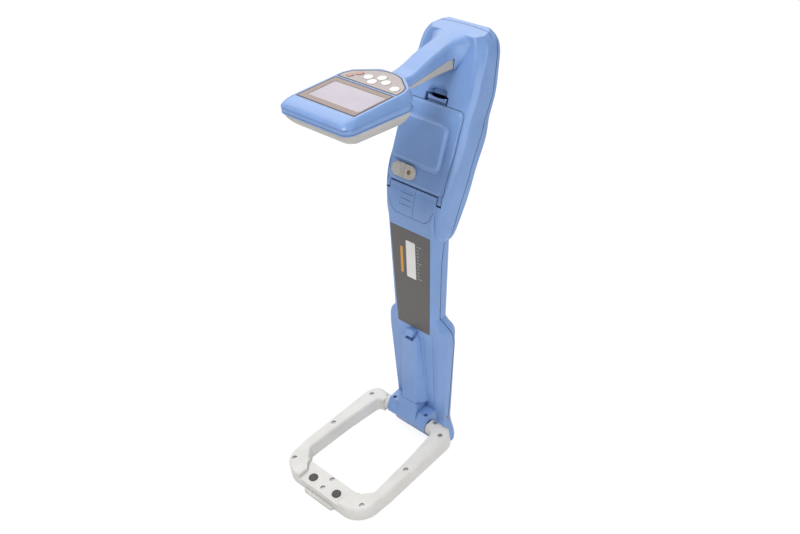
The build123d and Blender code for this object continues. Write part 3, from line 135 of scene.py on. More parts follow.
def rounded_normal(tree, radius):
    """Shading normal that rolls over sharp edges."""
    made = tree.nodes.new("ShaderNodeBevel")
    made.samples = 4
    made.inputs["Radius"].default_value = radius
    return made.outputs["Normal"]


def edge_mask(tree, rolled):
    """High along edges, where the rolled normal leaves the face's own."""
    geometry = tree.nodes.new("ShaderNodeNewGeometry")
    made = tree.nodes.new("ShaderNodeVectorMath")
    made.operation = "DOT_PRODUCT"
    tree.links.new(rolled, made.inputs[0])
    tree.links.new(geometry.outputs["True Normal"], made.inputs[1])
    return spread(tree, made.outputs["Value"], 1.0, 0.0, start=0.75, end=0.985)


def crevice_mask(tree, distance):
    """Low in gaps and corners, 1 on open faces."""
    made = tree.nodes.new("ShaderNodeAmbientOcclusion")
    made.samples = 6
    made.inputs["Distance"].default_value = distance
    return made.outputs["AO"]


def bump(tree, height, depth, normal=None):
    made = tree.nodes.new("ShaderNodeBump")
    made.inputs["Strength"].default_value = 1.0
    made.inputs["Distance"].default_value = depth
    tree.links.new(height, made.inputs["Height"])
    if normal is not None:
        tree.links.new(normal, made.inputs["Normal"])
    return made.outputs["Normal"]


# finishes

CLOUD_SIZE = 42 * MM
SPECK_SIZE = 1.6 * MM
# reaches of the painted shade on sheltered faces and in gaps
PAINTED_SHADE_REACH = 26 * MM
GAP_REACH = 5 * MM
CLOUD_DARK, CLOUD_PALE, CLOUD_LIFT = 0.93, 1.05, 0.004
SPECK_DARK, SPECK_AMOUNT = 0.86, 0.10
# tint of the painted shade on sheltered faces, painted edge highlight with wear, painted gap shade with grime
PAINTED_SHADE_TINT = (0.35, 0.45, 0.58)
SHEEN_AND_WEAR_SHARE, SHEEN_AND_WEAR_LIFT = 0.55, 0.42
GAP_SHADE_AND_GRIME_DARK, GAP_SHADE_AND_GRIME_AMOUNT = 0.30, 0.75


def moulded(name, colour, rough, grain, depth, edge=0.8 * MM, sheen_and_wear=0.25, gloss=0.5, painted_shelter_shade=0.0):
    """Moulded plastic or rubber: cloudy tone, fine texture, painted shade with grime in gaps, lighter edges of
    painted highlight with wear.

    The last argument sets how far sheltered faces take a deeper tone, a painted shade.
    """
    material, tree, surface = shader(name)
    where = coordinates(tree)
    cloudy = noise(tree, where, CLOUD_SIZE, 4.0)
    speckle = noise(tree, where, SPECK_SIZE, 2.0)
    fine = noise(tree, where, grain, 2.0)
    base = srgb(colour)
    clouds = darker(base, CLOUD_DARK), paler(base, CLOUD_PALE, CLOUD_LIFT)
    toned = blend_colours(tree, spread(tree, cloudy, 0.0, 1.0), *clouds)
    specks = spread(tree, speckle, 0.0, SPECK_AMOUNT)
    toned = blend_colours(tree, specks, toned, darker(base, SPECK_DARK))
    # painted shade: faces sheltered by nearby parts take a deeper tone
    if painted_shelter_shade:
        painted_shade_tone = [share * c for share, c in zip(PAINTED_SHADE_TINT, base)] + [1.0]
        painted_shade_share = spread(tree, crevice_mask(tree, PAINTED_SHADE_REACH), painted_shelter_shade, 0.0, start=0.25, end=0.85)
        toned = blend_colours(tree, painted_shade_share, toned, painted_shade_tone)
    # painted highlight along edges, together with edge wear
    rolled = rounded_normal(tree, edge)
    edge_sheen_and_wear = math_node(tree, "MULTIPLY", edge_mask(tree, rolled), sheen_and_wear)
    toned = blend_colours(tree, edge_sheen_and_wear, toned, paler(base, SHEEN_AND_WEAR_SHARE, SHEEN_AND_WEAR_LIFT))
    # painted shade in gaps and corners, together with grime
    gap_shade_and_grime = spread(tree, crevice_mask(tree, GAP_REACH), GAP_SHADE_AND_GRIME_AMOUNT, 0.0, start=0.15, end=0.75)
    toned = blend_colours(tree, gap_shade_and_grime, toned, darker(base, GAP_SHADE_AND_GRIME_DARK))
    tree.links.new(toned, surface.inputs["Base Color"])
    tree.links.new(spread(tree, cloudy, rough - 0.04, rough + 0.06), surface.inputs["Roughness"])
    surface.inputs["Specular IOR Level"].default_value = gloss
    tree.links.new(bump(tree, fine, depth, rolled), surface.inputs["Normal"])
    return material


def metal(name, colour, rough):
    """Plated metal with fine turning scratches and dull patches."""
    material, tree, surface = shader(name)
    where = coordinates(tree)
    cloudy = noise(tree, where, 6 * MM, 4.0)
    scratch = noise(tree, where, 0.25 * MM, 5.0)
    base = srgb(colour)
    toned = blend_colours(tree, spread(tree, cloudy, 0.0, 0.7), base, darker(base, 0.55))
    tree.links.new(toned, surface.inputs["Base Color"])
    surface.inputs["Metallic"].default_value = 1.0
    tree.links.new(spread(tree, scratch, rough - 0.08, rough + 0.12), surface.inputs["Roughness"])
    rolled = rounded_normal(tree, 0.25 * MM)
    tree.links.new(bump(tree, scratch, 0.02 * MM, rolled), surface.inputs["Normal"])
    return material


def display_pane(name, colour):
    """Pale liquid crystal pane under a clear cover, with a fine dot grid."""
    material, tree, surface = shader(name)
    where = coordinates(tree)
    dots = tree.nodes.new("ShaderNodeTexChecker")
    dots.inputs["Scale"].default_value = 1 / (0.9 * MM)
    tree.links.new(where, dots.inputs["Vector"])
    cloudy = noise(tree, where, 30 * MM, 2.0)
    base = srgb(colour)
    toned = blend_colours(tree, spread(tree, cloudy, 0.0, 1.0), base, darker(base, 0.90))
    grid = math_node(tree, "MULTIPLY", dots.outputs["Fac"], 0.5)
    toned = blend_colours(tree, grid, toned, darker(base, 0.965))
    tree.links.new(toned, surface.inputs["Base Color"])
    tree.links.new(spread(tree, cloudy, 0.38, 0.46), surface.inputs["Roughness"])
    surface.inputs["Specular IOR Level"].default_value = 0.35
    surface.inputs["Coat Weight"].default_value = 0.08
    surface.inputs["Coat Roughness"].default_value = 0.12
    return material


def winding(name, colour, pitch):
    """Varnished wire wound in fine turns."""
    material, tree, surface = shader(name)
    where = coordinates(tree)
    turns = tree.nodes.new("ShaderNodeTexWave")
    turns.inputs["Scale"].default_value = 0.5 / pitch
    turns.inputs["Distortion"].default_value = 0.4
    tree.links.new(where, turns.inputs["Vector"])
    base = srgb(colour)
    toned = blend_colours(tree, turns.outputs["Fac"], darker(base, 0.35), base)
    tree.links.new(toned, surface.inputs["Base Color"])
    tree.links.new(spread(tree, noise(tree, where, 4 * MM), 0.30, 0.45), surface.inputs["Roughness"])
    tree.links.new(bump(tree, turns.outputs["Fac"], 0.1 * MM), surface.inputs["Normal"])
    return material


def ink(name, colour, rough=0.45):
    return moulded(name, colour, rough, 0.20 * MM, 0.003 * MM, 0.1 * MM, 0.0)


finishes = {
    "blue_shell": moulded(
        # painted shade on sheltered faces, and a little painted edge highlight with wear
        "blue_shell_finish", "7a9dd4", 0.32, 0.45 * MM, 0.008 * MM, sheen_and_wear=0.12, gloss=0.6, painted_shelter_shade=0.6,
    ),
    "grey_shell": moulded("grey_shell_finish", "bbb8b3", 0.48, 0.45 * MM, 0.012 * MM),
    "loop_grey": moulded("loop_grey_finish", "dddbd7", 0.50, 0.45 * MM, 0.012 * MM, sheen_and_wear=0.3),
    "seal_dark": moulded("seal_finish", "2a2c33", 0.70, 0.30 * MM, 0.010 * MM, 0.3 * MM, 0.05),
    "bumper_black": moulded("bumper_finish", "4a4845", 0.62, 0.35 * MM, 0.020 * MM, 0.6 * MM, 0.10),
    "label_dark": moulded("label_finish", "605c5b", 0.50, 0.25 * MM, 0.006 * MM, 0.2 * MM, 0.10),
    "keypad": moulded("keypad_finish", "b2a8a6", 0.52, 0.30 * MM, 0.008 * MM, 0.3 * MM, 0.10),
    "bezel": moulded("bezel_finish", "978680", 0.50, 0.30 * MM, 0.008 * MM, 0.3 * MM, 0.10),
    "key_white": moulded("white_key_finish", "ecebe8", 0.45, 0.30 * MM, 0.006 * MM, 0.4 * MM, 0.10),
    "key_brown": moulded("brown_key_finish", "bd9484", 0.45, 0.30 * MM, 0.006 * MM, 0.4 * MM, 0.10),
    "lcd_glass": display_pane("display_pane", "bbb2be"),
    "lcd_inner": moulded("display_module_finish", "9a9fa6", 0.45, 0.40 * MM, 0.006 * MM),
    "board_green": moulded("board_finish", "1f6b3c", 0.35, 0.60 * MM, 0.010 * MM),
    "steel": metal("zinc_plate", "c9c9cc", 0.32),
    "brass": metal("brass", "c9a35a", 0.30),
    "black_plastic": moulded("black_finish", "26262a", 0.50, 0.40 * MM, 0.012 * MM),
    "cell_jacket": moulded("cell_jacket_finish", "394254", 0.30, 0.80 * MM, 0.004 * MM),
    "ferrite": moulded("ferrite_finish", "3a3836", 0.60, 0.50 * MM, 0.020 * MM),
    "coil_former": winding("coil_winding", "9a5a2c", 0.5 * MM),
}
paper = ink("print_white", "e9e7e4")
amber = ink("print_amber", "d79a3a")
pale_ink = ink("print_pale_grey", "b9b5b2")
dark_ink = ink("print_dark", "37363a", 0.50)

for node, thing in nodes.items():
    thing.data.materials.clear()
    thing.data.materials.append(finishes[node_slot[node]])


# places on the CAD nodes

FACING = 0.3
FLAT = 0.9995
SIDEWAYS = 0.9
WELD = 1e6


def islands(node):
    """The node's separate solids, each as a list of polygons."""
    mesh = nodes[node].data
    home = {}
    groups = {}

    def root(key):
        while home[key] != key:
            key = home[key]
        return key

    spots = [tuple(round(c * WELD) for c in vertex.co) for vertex in mesh.vertices]
    for spot in spots:
        home.setdefault(spot, spot)
    for polygon in mesh.polygons:
        first = root(spots[polygon.vertices[0]])
        for index in polygon.vertices[1:]:
            home[root(spots[index])] = first
    for polygon in mesh.polygons:
        groups.setdefault(root(spots[polygon.vertices[0]]), []).append(polygon)
    return list(groups.values())


def flat_face(node, polygons, towards):
    """Centre, normal and outer radius of the largest flat face that looks towards a direction."""
    mesh = nodes[node].data
    facing = [p for p in polygons if p.normal.dot(towards) > FACING]
    areas = {}
    for polygon in facing:
        key = tuple(round(c, 2) for c in polygon.normal)
        areas[key] = areas.get(key, 0.0) + polygon.area
    best = Vector(max(areas, key=areas.get)).normalized()
    flat = [p for p in facing if p.normal.dot(best) > FLAT]
    total = sum(p.area for p in flat)
    normal = sum((p.normal * p.area for p in flat), Vector()) / total
    corners = [mesh.vertices[i].co for p in flat for i in p.vertices]
    low = Vector([min(c[k] for c in corners) for k in range(3)])
    high = Vector([max(c[k] for c in corners) for k in range(3)])
    centre = (low + high) / 2
    radius = max((c - centre).length for c in corners)
    return centre, normal.normalized(), radius


def plane_matrix(centre, normal):
    """Frame on a face: z out of the face, x along the object's width, or its depth on a side face."""
    across = (RIGHT - normal * normal.dot(RIGHT)).normalized()
    if abs(normal.dot(RIGHT)) > SIDEWAYS:
        across = (REAR - normal * normal.dot(REAR)).normalized()
    along = normal.cross(across)
    return Matrix.Translation(centre) @ Matrix((across, along, normal)).transposed().to_4x4()


# mesh helpers

SHARP = radians(38)


def piece(name, mesh_parts, material, body, smooth=False):
    """Object from (bmesh, matrix) parts, riding on a body."""
    whole = bmesh.new()
    for part, matrix in mesh_parts:
        scratch = bpy.data.meshes.new("scratch")
        part.to_mesh(scratch)
        part.free()
        scratch.transform(matrix)
        whole.from_mesh(scratch)
        bpy.data.meshes.remove(scratch)
    bmesh.ops.recalc_face_normals(whole, faces=whole.faces)
    mesh = bpy.data.meshes.new(name)
    whole.to_mesh(mesh)
    whole.free()
    mesh.materials.append(material)
    if smooth:
        mesh.shade_smooth()
        mesh.set_sharp_from_angle(angle=SHARP)
    made = bpy.data.objects.new(name, mesh)
    bpy.context.scene.collection.objects.link(made)
    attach(made, body)
    return made


def round_pairs(items):
    """Each item with the next, and the last with the first."""
    return zip(items, items[1:] + items[:1])


def steps(low, high, count):
    """Evenly spaced values, both ends included."""
    return [low + (high - low) * i / (count - 1) for i in range(count)]


def between(table, at):
    """Value at a place in a table of (place, value) rows, on straight lines from row to row."""
    if at <= table[0][0]:
        return table[0][1]
    for (a, low), (b, high) in zip(table, table[1:]):
        if at <= b:
            return low + (high - low) * (at - a) / (b - a)
    return table[-1][1]


def ring(made, radius, z, count):
    turns = [2 * pi * i / count for i in range(count)]
    return [made.verts.new((radius * cos(turn), radius * sin(turn), z)) for turn in turns]


def bridge(made, low, high):
    """Faces between two closed rows of vertices."""
    count = len(low)
    for i in range(count):
        made.faces.new((low[i], low[(i + 1) % count], high[(i + 1) % count], high[i]))


def loop_edges(made, verts):
    """Edges round a closed row of vertices, made where they are missing."""
    edges = []
    for pair in round_pairs(verts):
        edge = made.edges.get(pair)
        edges.append(made.edges.new(pair) if edge is None else edge)
    return edges


def screw_head(radius, height, turn):
    """Pan head with a cross recess, its top at z = 0."""
    made = bmesh.new()
    count, roll_rows = 28, 4
    edge, drop = 0.28 * radius, 0.6
    rows = [ring(made, radius, -height, count)]
    for angle in steps(0.0, pi / 2, roll_rows):
        out = radius - edge + edge * cos(angle)
        rows.append(ring(made, out, -drop * edge + drop * edge * sin(angle), count))
    for low, high in zip(rows, rows[1:]):
        bridge(made, low, high)
    made.faces.new(list(reversed(rows[0])))
    arm, half = 0.58 * radius, 0.13 * radius
    outline = []
    for quarter in range(4):
        angle = turn + quarter * pi / 2
        for at, along, across in (
            (angle, arm, half), (angle, arm, -half), (angle + pi / 4, half * 2 ** 0.5, 0.0),
        ):
            outline.append((along * cos(at) + across * sin(at), along * sin(at) - across * cos(at)))
    taper, recess = 0.9, 0.5 * height
    top = [made.verts.new((x, y, 0.0)) for x, y in outline]
    floor = [made.verts.new((taper * x, taper * y, -recess)) for x, y in outline]
    bridge(made, floor, top)
    made.faces.new(floor)
    rim = loop_edges(made, rows[-1]) + loop_edges(made, top)
    bmesh.ops.triangle_fill(made, use_beauty=True, edges=rim)
    return made


def rounded_plate(width, height, corner, thick):
    """Thin plate with round corners on z = 0."""
    made = bmesh.new()
    outline = []
    for sx, sy, start in ((1, 1, 0), (-1, 1, 90), (-1, -1, 180), (1, -1, 270)):
        for turn in steps(start, start + 90, 5):
            x = sx * (width / 2 - corner) + corner * cos(radians(turn))
            y = sy * (height / 2 - corner) + corner * sin(radians(turn))
            outline.append((x, y))
    low = [made.verts.new((x, y, 0.0)) for x, y in outline]
    high = [made.verts.new((x, y, thick)) for x, y in outline]
    bridge(made, low, high)
    made.faces.new(list(reversed(low)))
    made.faces.new(high)
    return made


def outline_strip(points, width, thick):
    """Thin line along the inside of a convex closed outline."""
    made = bmesh.new()
    count = len(points)
    least_mitre = 0.3
    inner = []
    for i, point in enumerate(points):
        before = (point - points[i - 1]).normalized()
        after = (points[(i + 1) % count] - point).normalized()
        inward = Vector((-before.y - after.y, before.x + after.x)).normalized()
        mitre = inward.dot(Vector((-before.y, before.x)))
        inner.append(point + inward * width / max(least_mitre, mitre))
    rows = []
    for line, z in ((points, 0.0), (points, thick), (inner, thick), (inner, 0.0)):
        rows.append([made.verts.new((p.x, p.y, z)) for p in line])
    for low, high in round_pairs(rows):
        bridge(made, low, high)
    return made


def skin(rows, push):
    """Closed thin form in millimetres: a grid of points, and the same grid moved by push(point)."""
    made = bmesh.new()
    outer = [[made.verts.new(point * MM) for point in row] for row in rows]
    inner = [[made.verts.new((point + push(point)) * MM) for point in row] for row in rows]
    last_row = len(rows) - 1
    last = len(rows[0]) - 1
    for grid in (outer, inner):
        for r in range(last_row):
            for c in range(last):
                made.faces.new((grid[r][c], grid[r][c + 1], grid[r + 1][c + 1], grid[r + 1][c]))
    border = [(0, c) for c in range(last)] + [(r, last) for r in range(last_row)]
    border += [(last_row, c) for c in range(last, 0, -1)] + [(r, 0) for r in range(last_row, 0, -1)]
    for (r0, c0), (r1, c1) in round_pairs(border):
        made.faces.new((outer[r0][c0], outer[r1][c1], inner[r1][c1], inner[r0][c0]))
    return made


def moulded_form(name, rows, push, body="locator_body", slot="blue_shell"):
    """Smooth thin form from rows of points, in a shell's finish."""
    return piece(name, [(skin(rows, push), IN_PLACE)], finishes[slot], body, True)


def tree_of(node):
    mesh = nodes[node].data
    return BVHTree.FromPolygons([v.co for v in mesh.vertices], [tuple(p.vertices) for p in mesh.polygons])


def struck(tree, start, towards):
    """First point of a node's surface on a line, in millimetres, or None."""
    place = tree.ray_cast(start * MM, towards)[0]
    return None if place is None else place / MM


def face_outline(node, towards):
    """Longest boundary of a node's flat face, as points on the face's frame, and that frame."""
    mesh = nodes[node].data
    centre, normal, _ = flat_face(node, mesh.polygons, towards)
    frame_on = plane_matrix(centre, normal)
    back = frame_on.inverted()
    on_face = shortest = 0.05 * MM
    straight = radians(0.4)
    seen = {}
    for polygon in mesh.polygons:
        if polygon.normal.dot(normal) < FLAT:
            continue
        corners = [back @ mesh.vertices[i].co for i in polygon.vertices]
        if max(abs(c.z) for c in corners) > on_face:
            continue
        keys = [(round(c.x / MM, 2), round(c.y / MM, 2)) for c in corners]
        seen.update({(a, b): True for a, b in round_pairs(keys) if a != b})
    border = {a: b for a, b in seen if (b, a) not in seen}
    loops = []
    while border:
        start, step = border.popitem()
        line = [start]
        while step != start and step in border:
            line.append(step)
            step = border.pop(step)
        loops.append([Vector(p) * MM for p in line])
    line = max(loops, key=lambda points: sum((p - q).length for p, q in round_pairs(points)))
    bends = []
    for i, p in enumerate(line):
        before = p - line[i - 1]
        after = line[(i + 1) % len(line)] - p
        if before.length >= shortest and abs(before.angle_signed(after, 0.0)) > straight:
            bends.append(p)
    return bends, frame_on


# cross-head screws in place of the plain discs of the CAD nodes

def outward(centre):
    return RIGHT if centre.x > 0 else -RIGHT


head_height = 0.55
first_turn, turn_step = 0.4, 0.9
screw_nodes = {
    "loop_screws": UP,
    "block_screws": UP,
    "head_screws": DOWN,
    "shell_screws": REAR,
    "foot_screws": None,
    "cover_screw": FRONT,
}
for node, towards in screw_nodes.items():
    parts = []
    for index, polygons in enumerate(islands(node)):
        facing = towards
        if facing is None:
            facing = outward(sum((p.center for p in polygons), Vector()) / len(polygons))
        centre, normal, radius = flat_face(node, polygons, facing)
        head = screw_head(radius, head_height * radius, first_turn + turn_step * index)
        parts.append((head, plane_matrix(centre, normal)))
    slot = node_slot[node]
    heads = piece(node + "_cross_heads", parts, finishes[slot], node_body[node])
    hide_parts(node)


# plain marks on the label plate

label_frame = plane_matrix(*flat_face("label_plate", nodes["label_plate"].data.polygons, FRONT)[:2])
ink_thick = 0.06 * MM


def printed(name, marks, material):
    """Flat marks on the label, given as (x, y, width, height, corner) in millimetres."""
    parts = []
    for x, y, width, height, corner in marks:
        plate = rounded_plate(width * MM, height * MM, corner * MM, ink_thick)
        parts.append((plate, label_frame @ Matrix.Translation((x * MM, y * MM, 0.0))))
    return piece(name, parts, material, node_body["label_plate"])


tick_x, tick_low, tick_pitch, tick_count, long_every = 14.0, 8.0, 5.4, 11, 5
tick_marks = []
for row in range(tick_count):
    shift, length = (2.5, 9.0) if row % long_every == 0 else (0.0, 4.0)
    tick_marks.append((tick_x + shift, tick_low + tick_pitch * row, length, 0.9, 0.3))
printed("label_write_on_strip", [(0.0, 35.0, 18.0, 61.0, 1.5)], paper)
printed("label_amber_bar", [(-18.0, 30.0, 5.0, 44.0, 1.2)], amber)
printed("label_tick_marks", tick_marks, pale_ink)


# dark lines round the display and the keypad, and the pale edge of the display pane

def edge_line(name, node, width, thick, material):
    outline, on_panel = face_outline(node, UP)
    line = outline_strip(outline, width * MM, thick * MM)
    return piece(name, [(line, on_panel)], material, node_body[node])


for node in ("display_bezel", "keypad_overlay"):
    edge_line(node + "_edge_line", node, 1.5, 0.12, dark_ink)
edge_line("display_pane_edge_line", "lcd_window", 0.8, 0.08, paper)


# band round the head under the crease: bulged and flush with the rolled top

head_origin = Vector((0.0, -149.7, 607.0))
head_tilt = radians(5.6)
head_up = Vector((0.0, -sin(head_tilt), cos(head_tilt)))
head_back = Vector((0.0, cos(head_tilt), sin(head_tilt)))
outside_head = 150
top_shell = tree_of("handle_top_shell")


def head_ray(turn, depth, tilt):
    """Middle of a level of the head and the direction to its outline, at an angle from the front."""
    away = RIGHT * sin(turn) - head_back * cos(turn)
    away += head_up * (tan(radians(tilt)) * cos(turn))
    return head_origin - head_up * depth, away


def head_reach(turn, depth, tilt):
    """Distance of the head's outline from the middle of a level."""
    level, away = head_ray(turn, depth, tilt)
    place = struck(top_shell, level + away * outside_head, -away)
    return (place - level).length / away.length


def to_head_axis(point):
    inward = head_origin - point
    inward -= head_up * inward.dot(head_up)
    return inward.normalized() * band_thick


# depth under the head's top and tilt in degrees, at the band's two edges
band_top, band_low = (9.5, 1.5), (18.9, 3.7)
top_overlap, low_overlap = 0.3, 0.6
band_half_turn = radians(128)
band_columns, band_levels = 161, 11
band_thick, band_sink = 3.2, 0.85
bulge_rate, bulge_start, bulge_power = 1.15, 0.02, 0.6
band_rows = []
for turn in steps(-band_half_turn, band_half_turn, band_columns):
    top_reach = head_reach(turn, band_top[0] - top_overlap, band_top[1])
    lip_reach = head_reach(turn, band_low[0] + low_overlap, band_low[1])
    row = []
    for share in steps(0.0, 1.0, band_levels):
        depth, tilt = (low + (high - low) * share for low, high in zip(band_top, band_low))
        level, away = head_ray(turn, depth + top_overlap * (1 - share), tilt)
        bulge = sin(pi * min(1.0, share * bulge_rate + bulge_start)) ** bulge_power
        reach = top_reach + (lip_reach - top_reach) * share - band_sink + bulge
        row.append(level + away * reach)
    band_rows.append(row)
moulded_form("head_side_band", band_rows, to_head_axis)


# root of the handle, flowing over the wing's front into its top

wing_kink = Vector((0.0, -35.2, 411.0))
wing_lean = radians(19.6)
grip_half = 18.35
flare_reach, flare_power = 30.0, 2.2
# half width of the ridge on the wing's front, by height
ridge = [
    (596.0, 18.6), (600.3, 20.5), (610.7, 27.5), (622.2, 31.5), (633.1, 33.5), (640.0, 34.5), (646.0, 33.0),
]
# height of the top, half width of its flat and height of its rolled edge, by distance to the rear
top_line = [
    (-45, 609.0), (-20, 619.3), (0, 627.5), (12, 631.2), (24, 635.0),
    (36, 638.9), (46, 641.9), (54, 643.7), (64, 645.3), (76, 646.6),
]
flat_half = [(-45, 12.0), (10, 11.5), (30, 9.5), (46, 8.0), (76, 6.0)]
roll_height = [(-45, 6.0), (15, 6.4), (44, 8.6), (50, 5.0), (60, 2.0), (76, 0.8)]
# parting line of the handle's shells, which the root's foot follows as far as the grey strip's end
parting_y, parting_z, parting_rise = -95.7, 588.6, radians(12.65)
strip_end = 27.0
root_front, root_rear, root_columns = -20, 68, 67
roll_points, side_points = 9, 7
lowest_foot, sunk_in_wing, least_side, crown_lift = 600.0, 1.0, 0.2, 0.15


def wing_front(z):
    return wing_kink.y + (z - wing_kink.z) * tan(wing_lean)


def root_half(y, z):
    """Half width of the handle's root, flaring to the ridge on the wing's front."""
    on_wing = between(ridge, z)
    near = (y - (wing_front(z) - flare_reach)) / flare_reach
    return grip_half + (on_wing - grip_half) * min(1.0, max(0.0, near)) ** flare_power


def root_foot(y, shoulder):
    """Height of the lower edge of the root's side."""
    if y < strip_end:
        foot = parting_z + (y - parting_y) * tan(parting_rise)
    else:
        on_wing = wing_kink.z + (y - wing_kink.y) / tan(wing_lean) - sunk_in_wing
        foot = max(lowest_foot, on_wing)
    return min(foot, shoulder - least_side)


def into_handle(point):
    return Vector((-0.12 * point.x, 1.2, -2.5))


root_rows = []
for y in steps(root_front, root_rear, root_columns):
    crown = between(top_line, y)
    flat = between(flat_half, y)
    roll = between(roll_height, y)
    shoulder = crown - roll
    foot = root_foot(y, shoulder)
    half = root_half(y, shoulder)
    side = []
    for turn in steps(0.0, pi / 2, roll_points):
        side.append(Vector((flat + (half - flat) * sin(turn), y, shoulder + roll * cos(turn))))
    for share in steps(0.0, 1.0, side_points)[1:]:
        z = shoulder + (foot - shoulder) * share
        side.append(Vector((root_half(y, z), y, z)))
    mirrored = [Vector((-p.x, p.y, p.z)) for p in reversed(side)]
    root_rows.append(mirrored + [Vector((0.0, y, crown + crown_lift))] + side)
moulded_form("handle_root", root_rows, into_handle)


# raised panel down the boot's front, in line with the blade's front, and the flange round the spine's base

boot_front_y = -10.38
boot_tilt = radians(3.4)


def boot_point(x, z, lift):
    return Vector((x, boot_front_y - tan(boot_tilt) * z - lift, z))


def into_boot(point):
    return Vector((0.0, 2.6, 0.0))


def boot_plate(name, rows, edge):
    """Plate on the boot's front from rows of (height, half width, lift), with rolled edges."""
    grid = []
    for z, half, lift in rows:
        left = [
            (-half - edge, -0.5), (-half - 0.7 * edge, 0.5 * lift), (-half, 0.9 * lift), (-half + edge, lift),
        ]
        across = left + [(-x, level) for x, level in reversed(left)]
        grid.append([boot_point(x, z, level) for x, level in across])
    return moulded_form(name, grid, into_boot)


boot_plate("boot_front_panel", [
    (78.0, 35.2, -0.4), (79.5, 35.2, 1.0), (120.0, 35.8, 1.7), (185.0, 36.6, 1.5),
    (203.0, 37.0, 0.9), (206.5, 37.0, 0.4), (207.2, 37.0, -0.4),
], 0.9)
boot_plate("spine_flange", [
    (78.5, 24.6, 0.5), (79.5, 24.6, 2.6), (120.0, 22.9, 3.2), (185.0, 20.0, 3.0),
    (196.0, 19.2, 2.9), (201.5, 16.5, 2.4), (203.0, 14.5, 0.2),
], 0.8)


# parting line of the shells over the wing's top: a dark strip on the surface in the seal's colour, which also
# stands for the groove's painted shade

seam_half, seam_columns = 50.0, 41
seam_y, seam_width, seam_bow = 72.0, 1.2, 0.0022
seam_edge, seam_rise, seam_sink = 0.2, 0.07, 0.3
above_wing = 700.0
crown_trees = [tree_of("front_shell"), tree_of("rear_shell")]


def crown_level(x, y):
    hits = [struck(tree, Vector((x, y, above_wing)), DOWN) for tree in crown_trees]
    return max(hit.z for hit in hits if hit is not None)


def into_wing(point):
    return Vector((0.0, 0.0, -0.6))


seam_rows = []
for x in steps(-seam_half, seam_half, seam_columns):
    near = seam_y - seam_bow * x * x
    far = seam_y + seam_width - seam_bow * x * x
    line = [(near, -seam_sink), (near + seam_edge, seam_rise), (far - seam_edge, seam_rise), (far, -seam_sink)]
    seam_rows.append([Vector((x, y, crown_level(x, y) + lift)) for y, lift in line])
moulded_form("crown_parting_seal_and_shade", seam_rows, into_wing, slot="seal_dark")


# raised pad of the door, carried on to the door's left edge; t runs up the door

door_origin = Vector((0.0, -27.366, 433.0))
door_along = Vector((0.0, 0.33545, 0.94206))
door_out = Vector((0.0, -0.94206, 0.33545))
outside_door = 60
door_tree = tree_of("battery_door")
pad_left, pad_right, pad_low, pad_high = -50.3, 37.6, 39.6, 103.6
pad_corner, pad_roll, pad_top = 8.0, 5.0, 8.95
pad_margin, left_margin = 0.8, 0.4
pad_rows_count, pad_columns = 71, 89
highest_ground, margin_sink = 2.6, 0.4
inner_edge, least_cover = 3.0, 0.05


def door_point(x, t, level):
    return door_origin + RIGHT * x + door_along * t + door_out * level


def door_level(x, t):
    """Height of the door's face over its plane."""
    place = struck(door_tree, door_point(x, t, outside_door), -door_out)
    return (place - door_origin).dot(door_out)


def pad_inside(x, t):
    """Distance inside the pad's rounded outline."""
    across = abs(x - (pad_left + pad_right) / 2) - (pad_right - pad_left) / 2 + pad_corner
    along = abs(t - (pad_low + pad_high) / 2) - (pad_high - pad_low) / 2 + pad_corner
    outside = Vector((max(across, 0.0), max(along, 0.0))).length
    return pad_corner - outside - min(max(across, along), 0.0)


def pad_level(x, t):
    """Height of the pad over the door's plane; just under the door's face outside the pad."""
    own = door_level(x, t)
    inside = pad_inside(x, t)
    if inside <= 0.0:
        return own - margin_sink
    share = min(1.0, inside / pad_roll)
    swell = (1.0 - (1.0 - share) ** 2) ** 0.5
    ground = min(own, highest_ground)
    level = ground + (pad_top - ground) * swell
    return max(level, own + least_cover) if inside > inner_edge else level


def into_door(point):
    return door_out * -1.4


pad_across = steps(pad_left - left_margin, pad_right + pad_margin, pad_columns)
pad_rows = []
for t in steps(pad_low - pad_margin, pad_high + pad_margin, pad_rows_count):
    pad_rows.append([door_point(x, t, pad_level(x, t)) for x in pad_across])
moulded_form("door_pad", pad_rows, into_door, body="door")


# camera, as found from the photograph

camera_place = Vector((0.8366, -0.9216, 1.0360))
camera_look = Vector((-0.5977, 0.6206, -0.5075))
camera_data = bpy.data.cameras.new("camera")
camera_data.lens = 44.55
camera_data.sensor_width = 36.0
camera_data.clip_end = 50.0
camera = bpy.data.objects.new("camera", camera_data)
camera.location = camera_place
camera.rotation_mode = "QUATERNION"
camera.rotation_quaternion = camera_look.to_track_quat("-Z", "Y")
bpy.context.scene.collection.objects.link(camera)
bpy.context.scene.camera = camera


# stage and light

WHITE = (1.0, 1.0, 1.0, 1.0)
sweep_strength, sweep_share, sweep_in_gloss = 1.12, 0.8, 0.4


def floor_finish():
    """White sweep: mostly plain white to the camera, with enough diffuse floor to keep the shadow."""
    material = bpy.data.materials.new("pale_floor")
    material.use_nodes = True
    tree = material.node_tree
    tree.nodes.clear()
    output = tree.nodes.new("ShaderNodeOutputMaterial")
    diffuse = tree.nodes.new("ShaderNodeBsdfDiffuse")
    diffuse.inputs["Color"].default_value = srgb("f4f4f4")
    white = tree.nodes.new("ShaderNodeEmission")
    white.inputs["Color"].default_value = WHITE
    white.inputs["Strength"].default_value = sweep_strength
    mixed = tree.nodes.new("ShaderNodeMixShader")
    path = tree.nodes.new("ShaderNodeLightPath").outputs
    dimmed = math_node(tree, "MULTIPLY", path["Is Glossy Ray"], sweep_in_gloss)
    seen = math_node(tree, "MAXIMUM", path["Is Camera Ray"], dimmed)
    tree.links.new(math_node(tree, "MULTIPLY", seen, sweep_share), mixed.inputs["Fac"])
    tree.links.new(diffuse.outputs["BSDF"], mixed.inputs[1])
    tree.links.new(white.outputs["Emission"], mixed.inputs[2])
    tree.links.new(mixed.outputs["Shader"], output.inputs["Surface"])
    return material


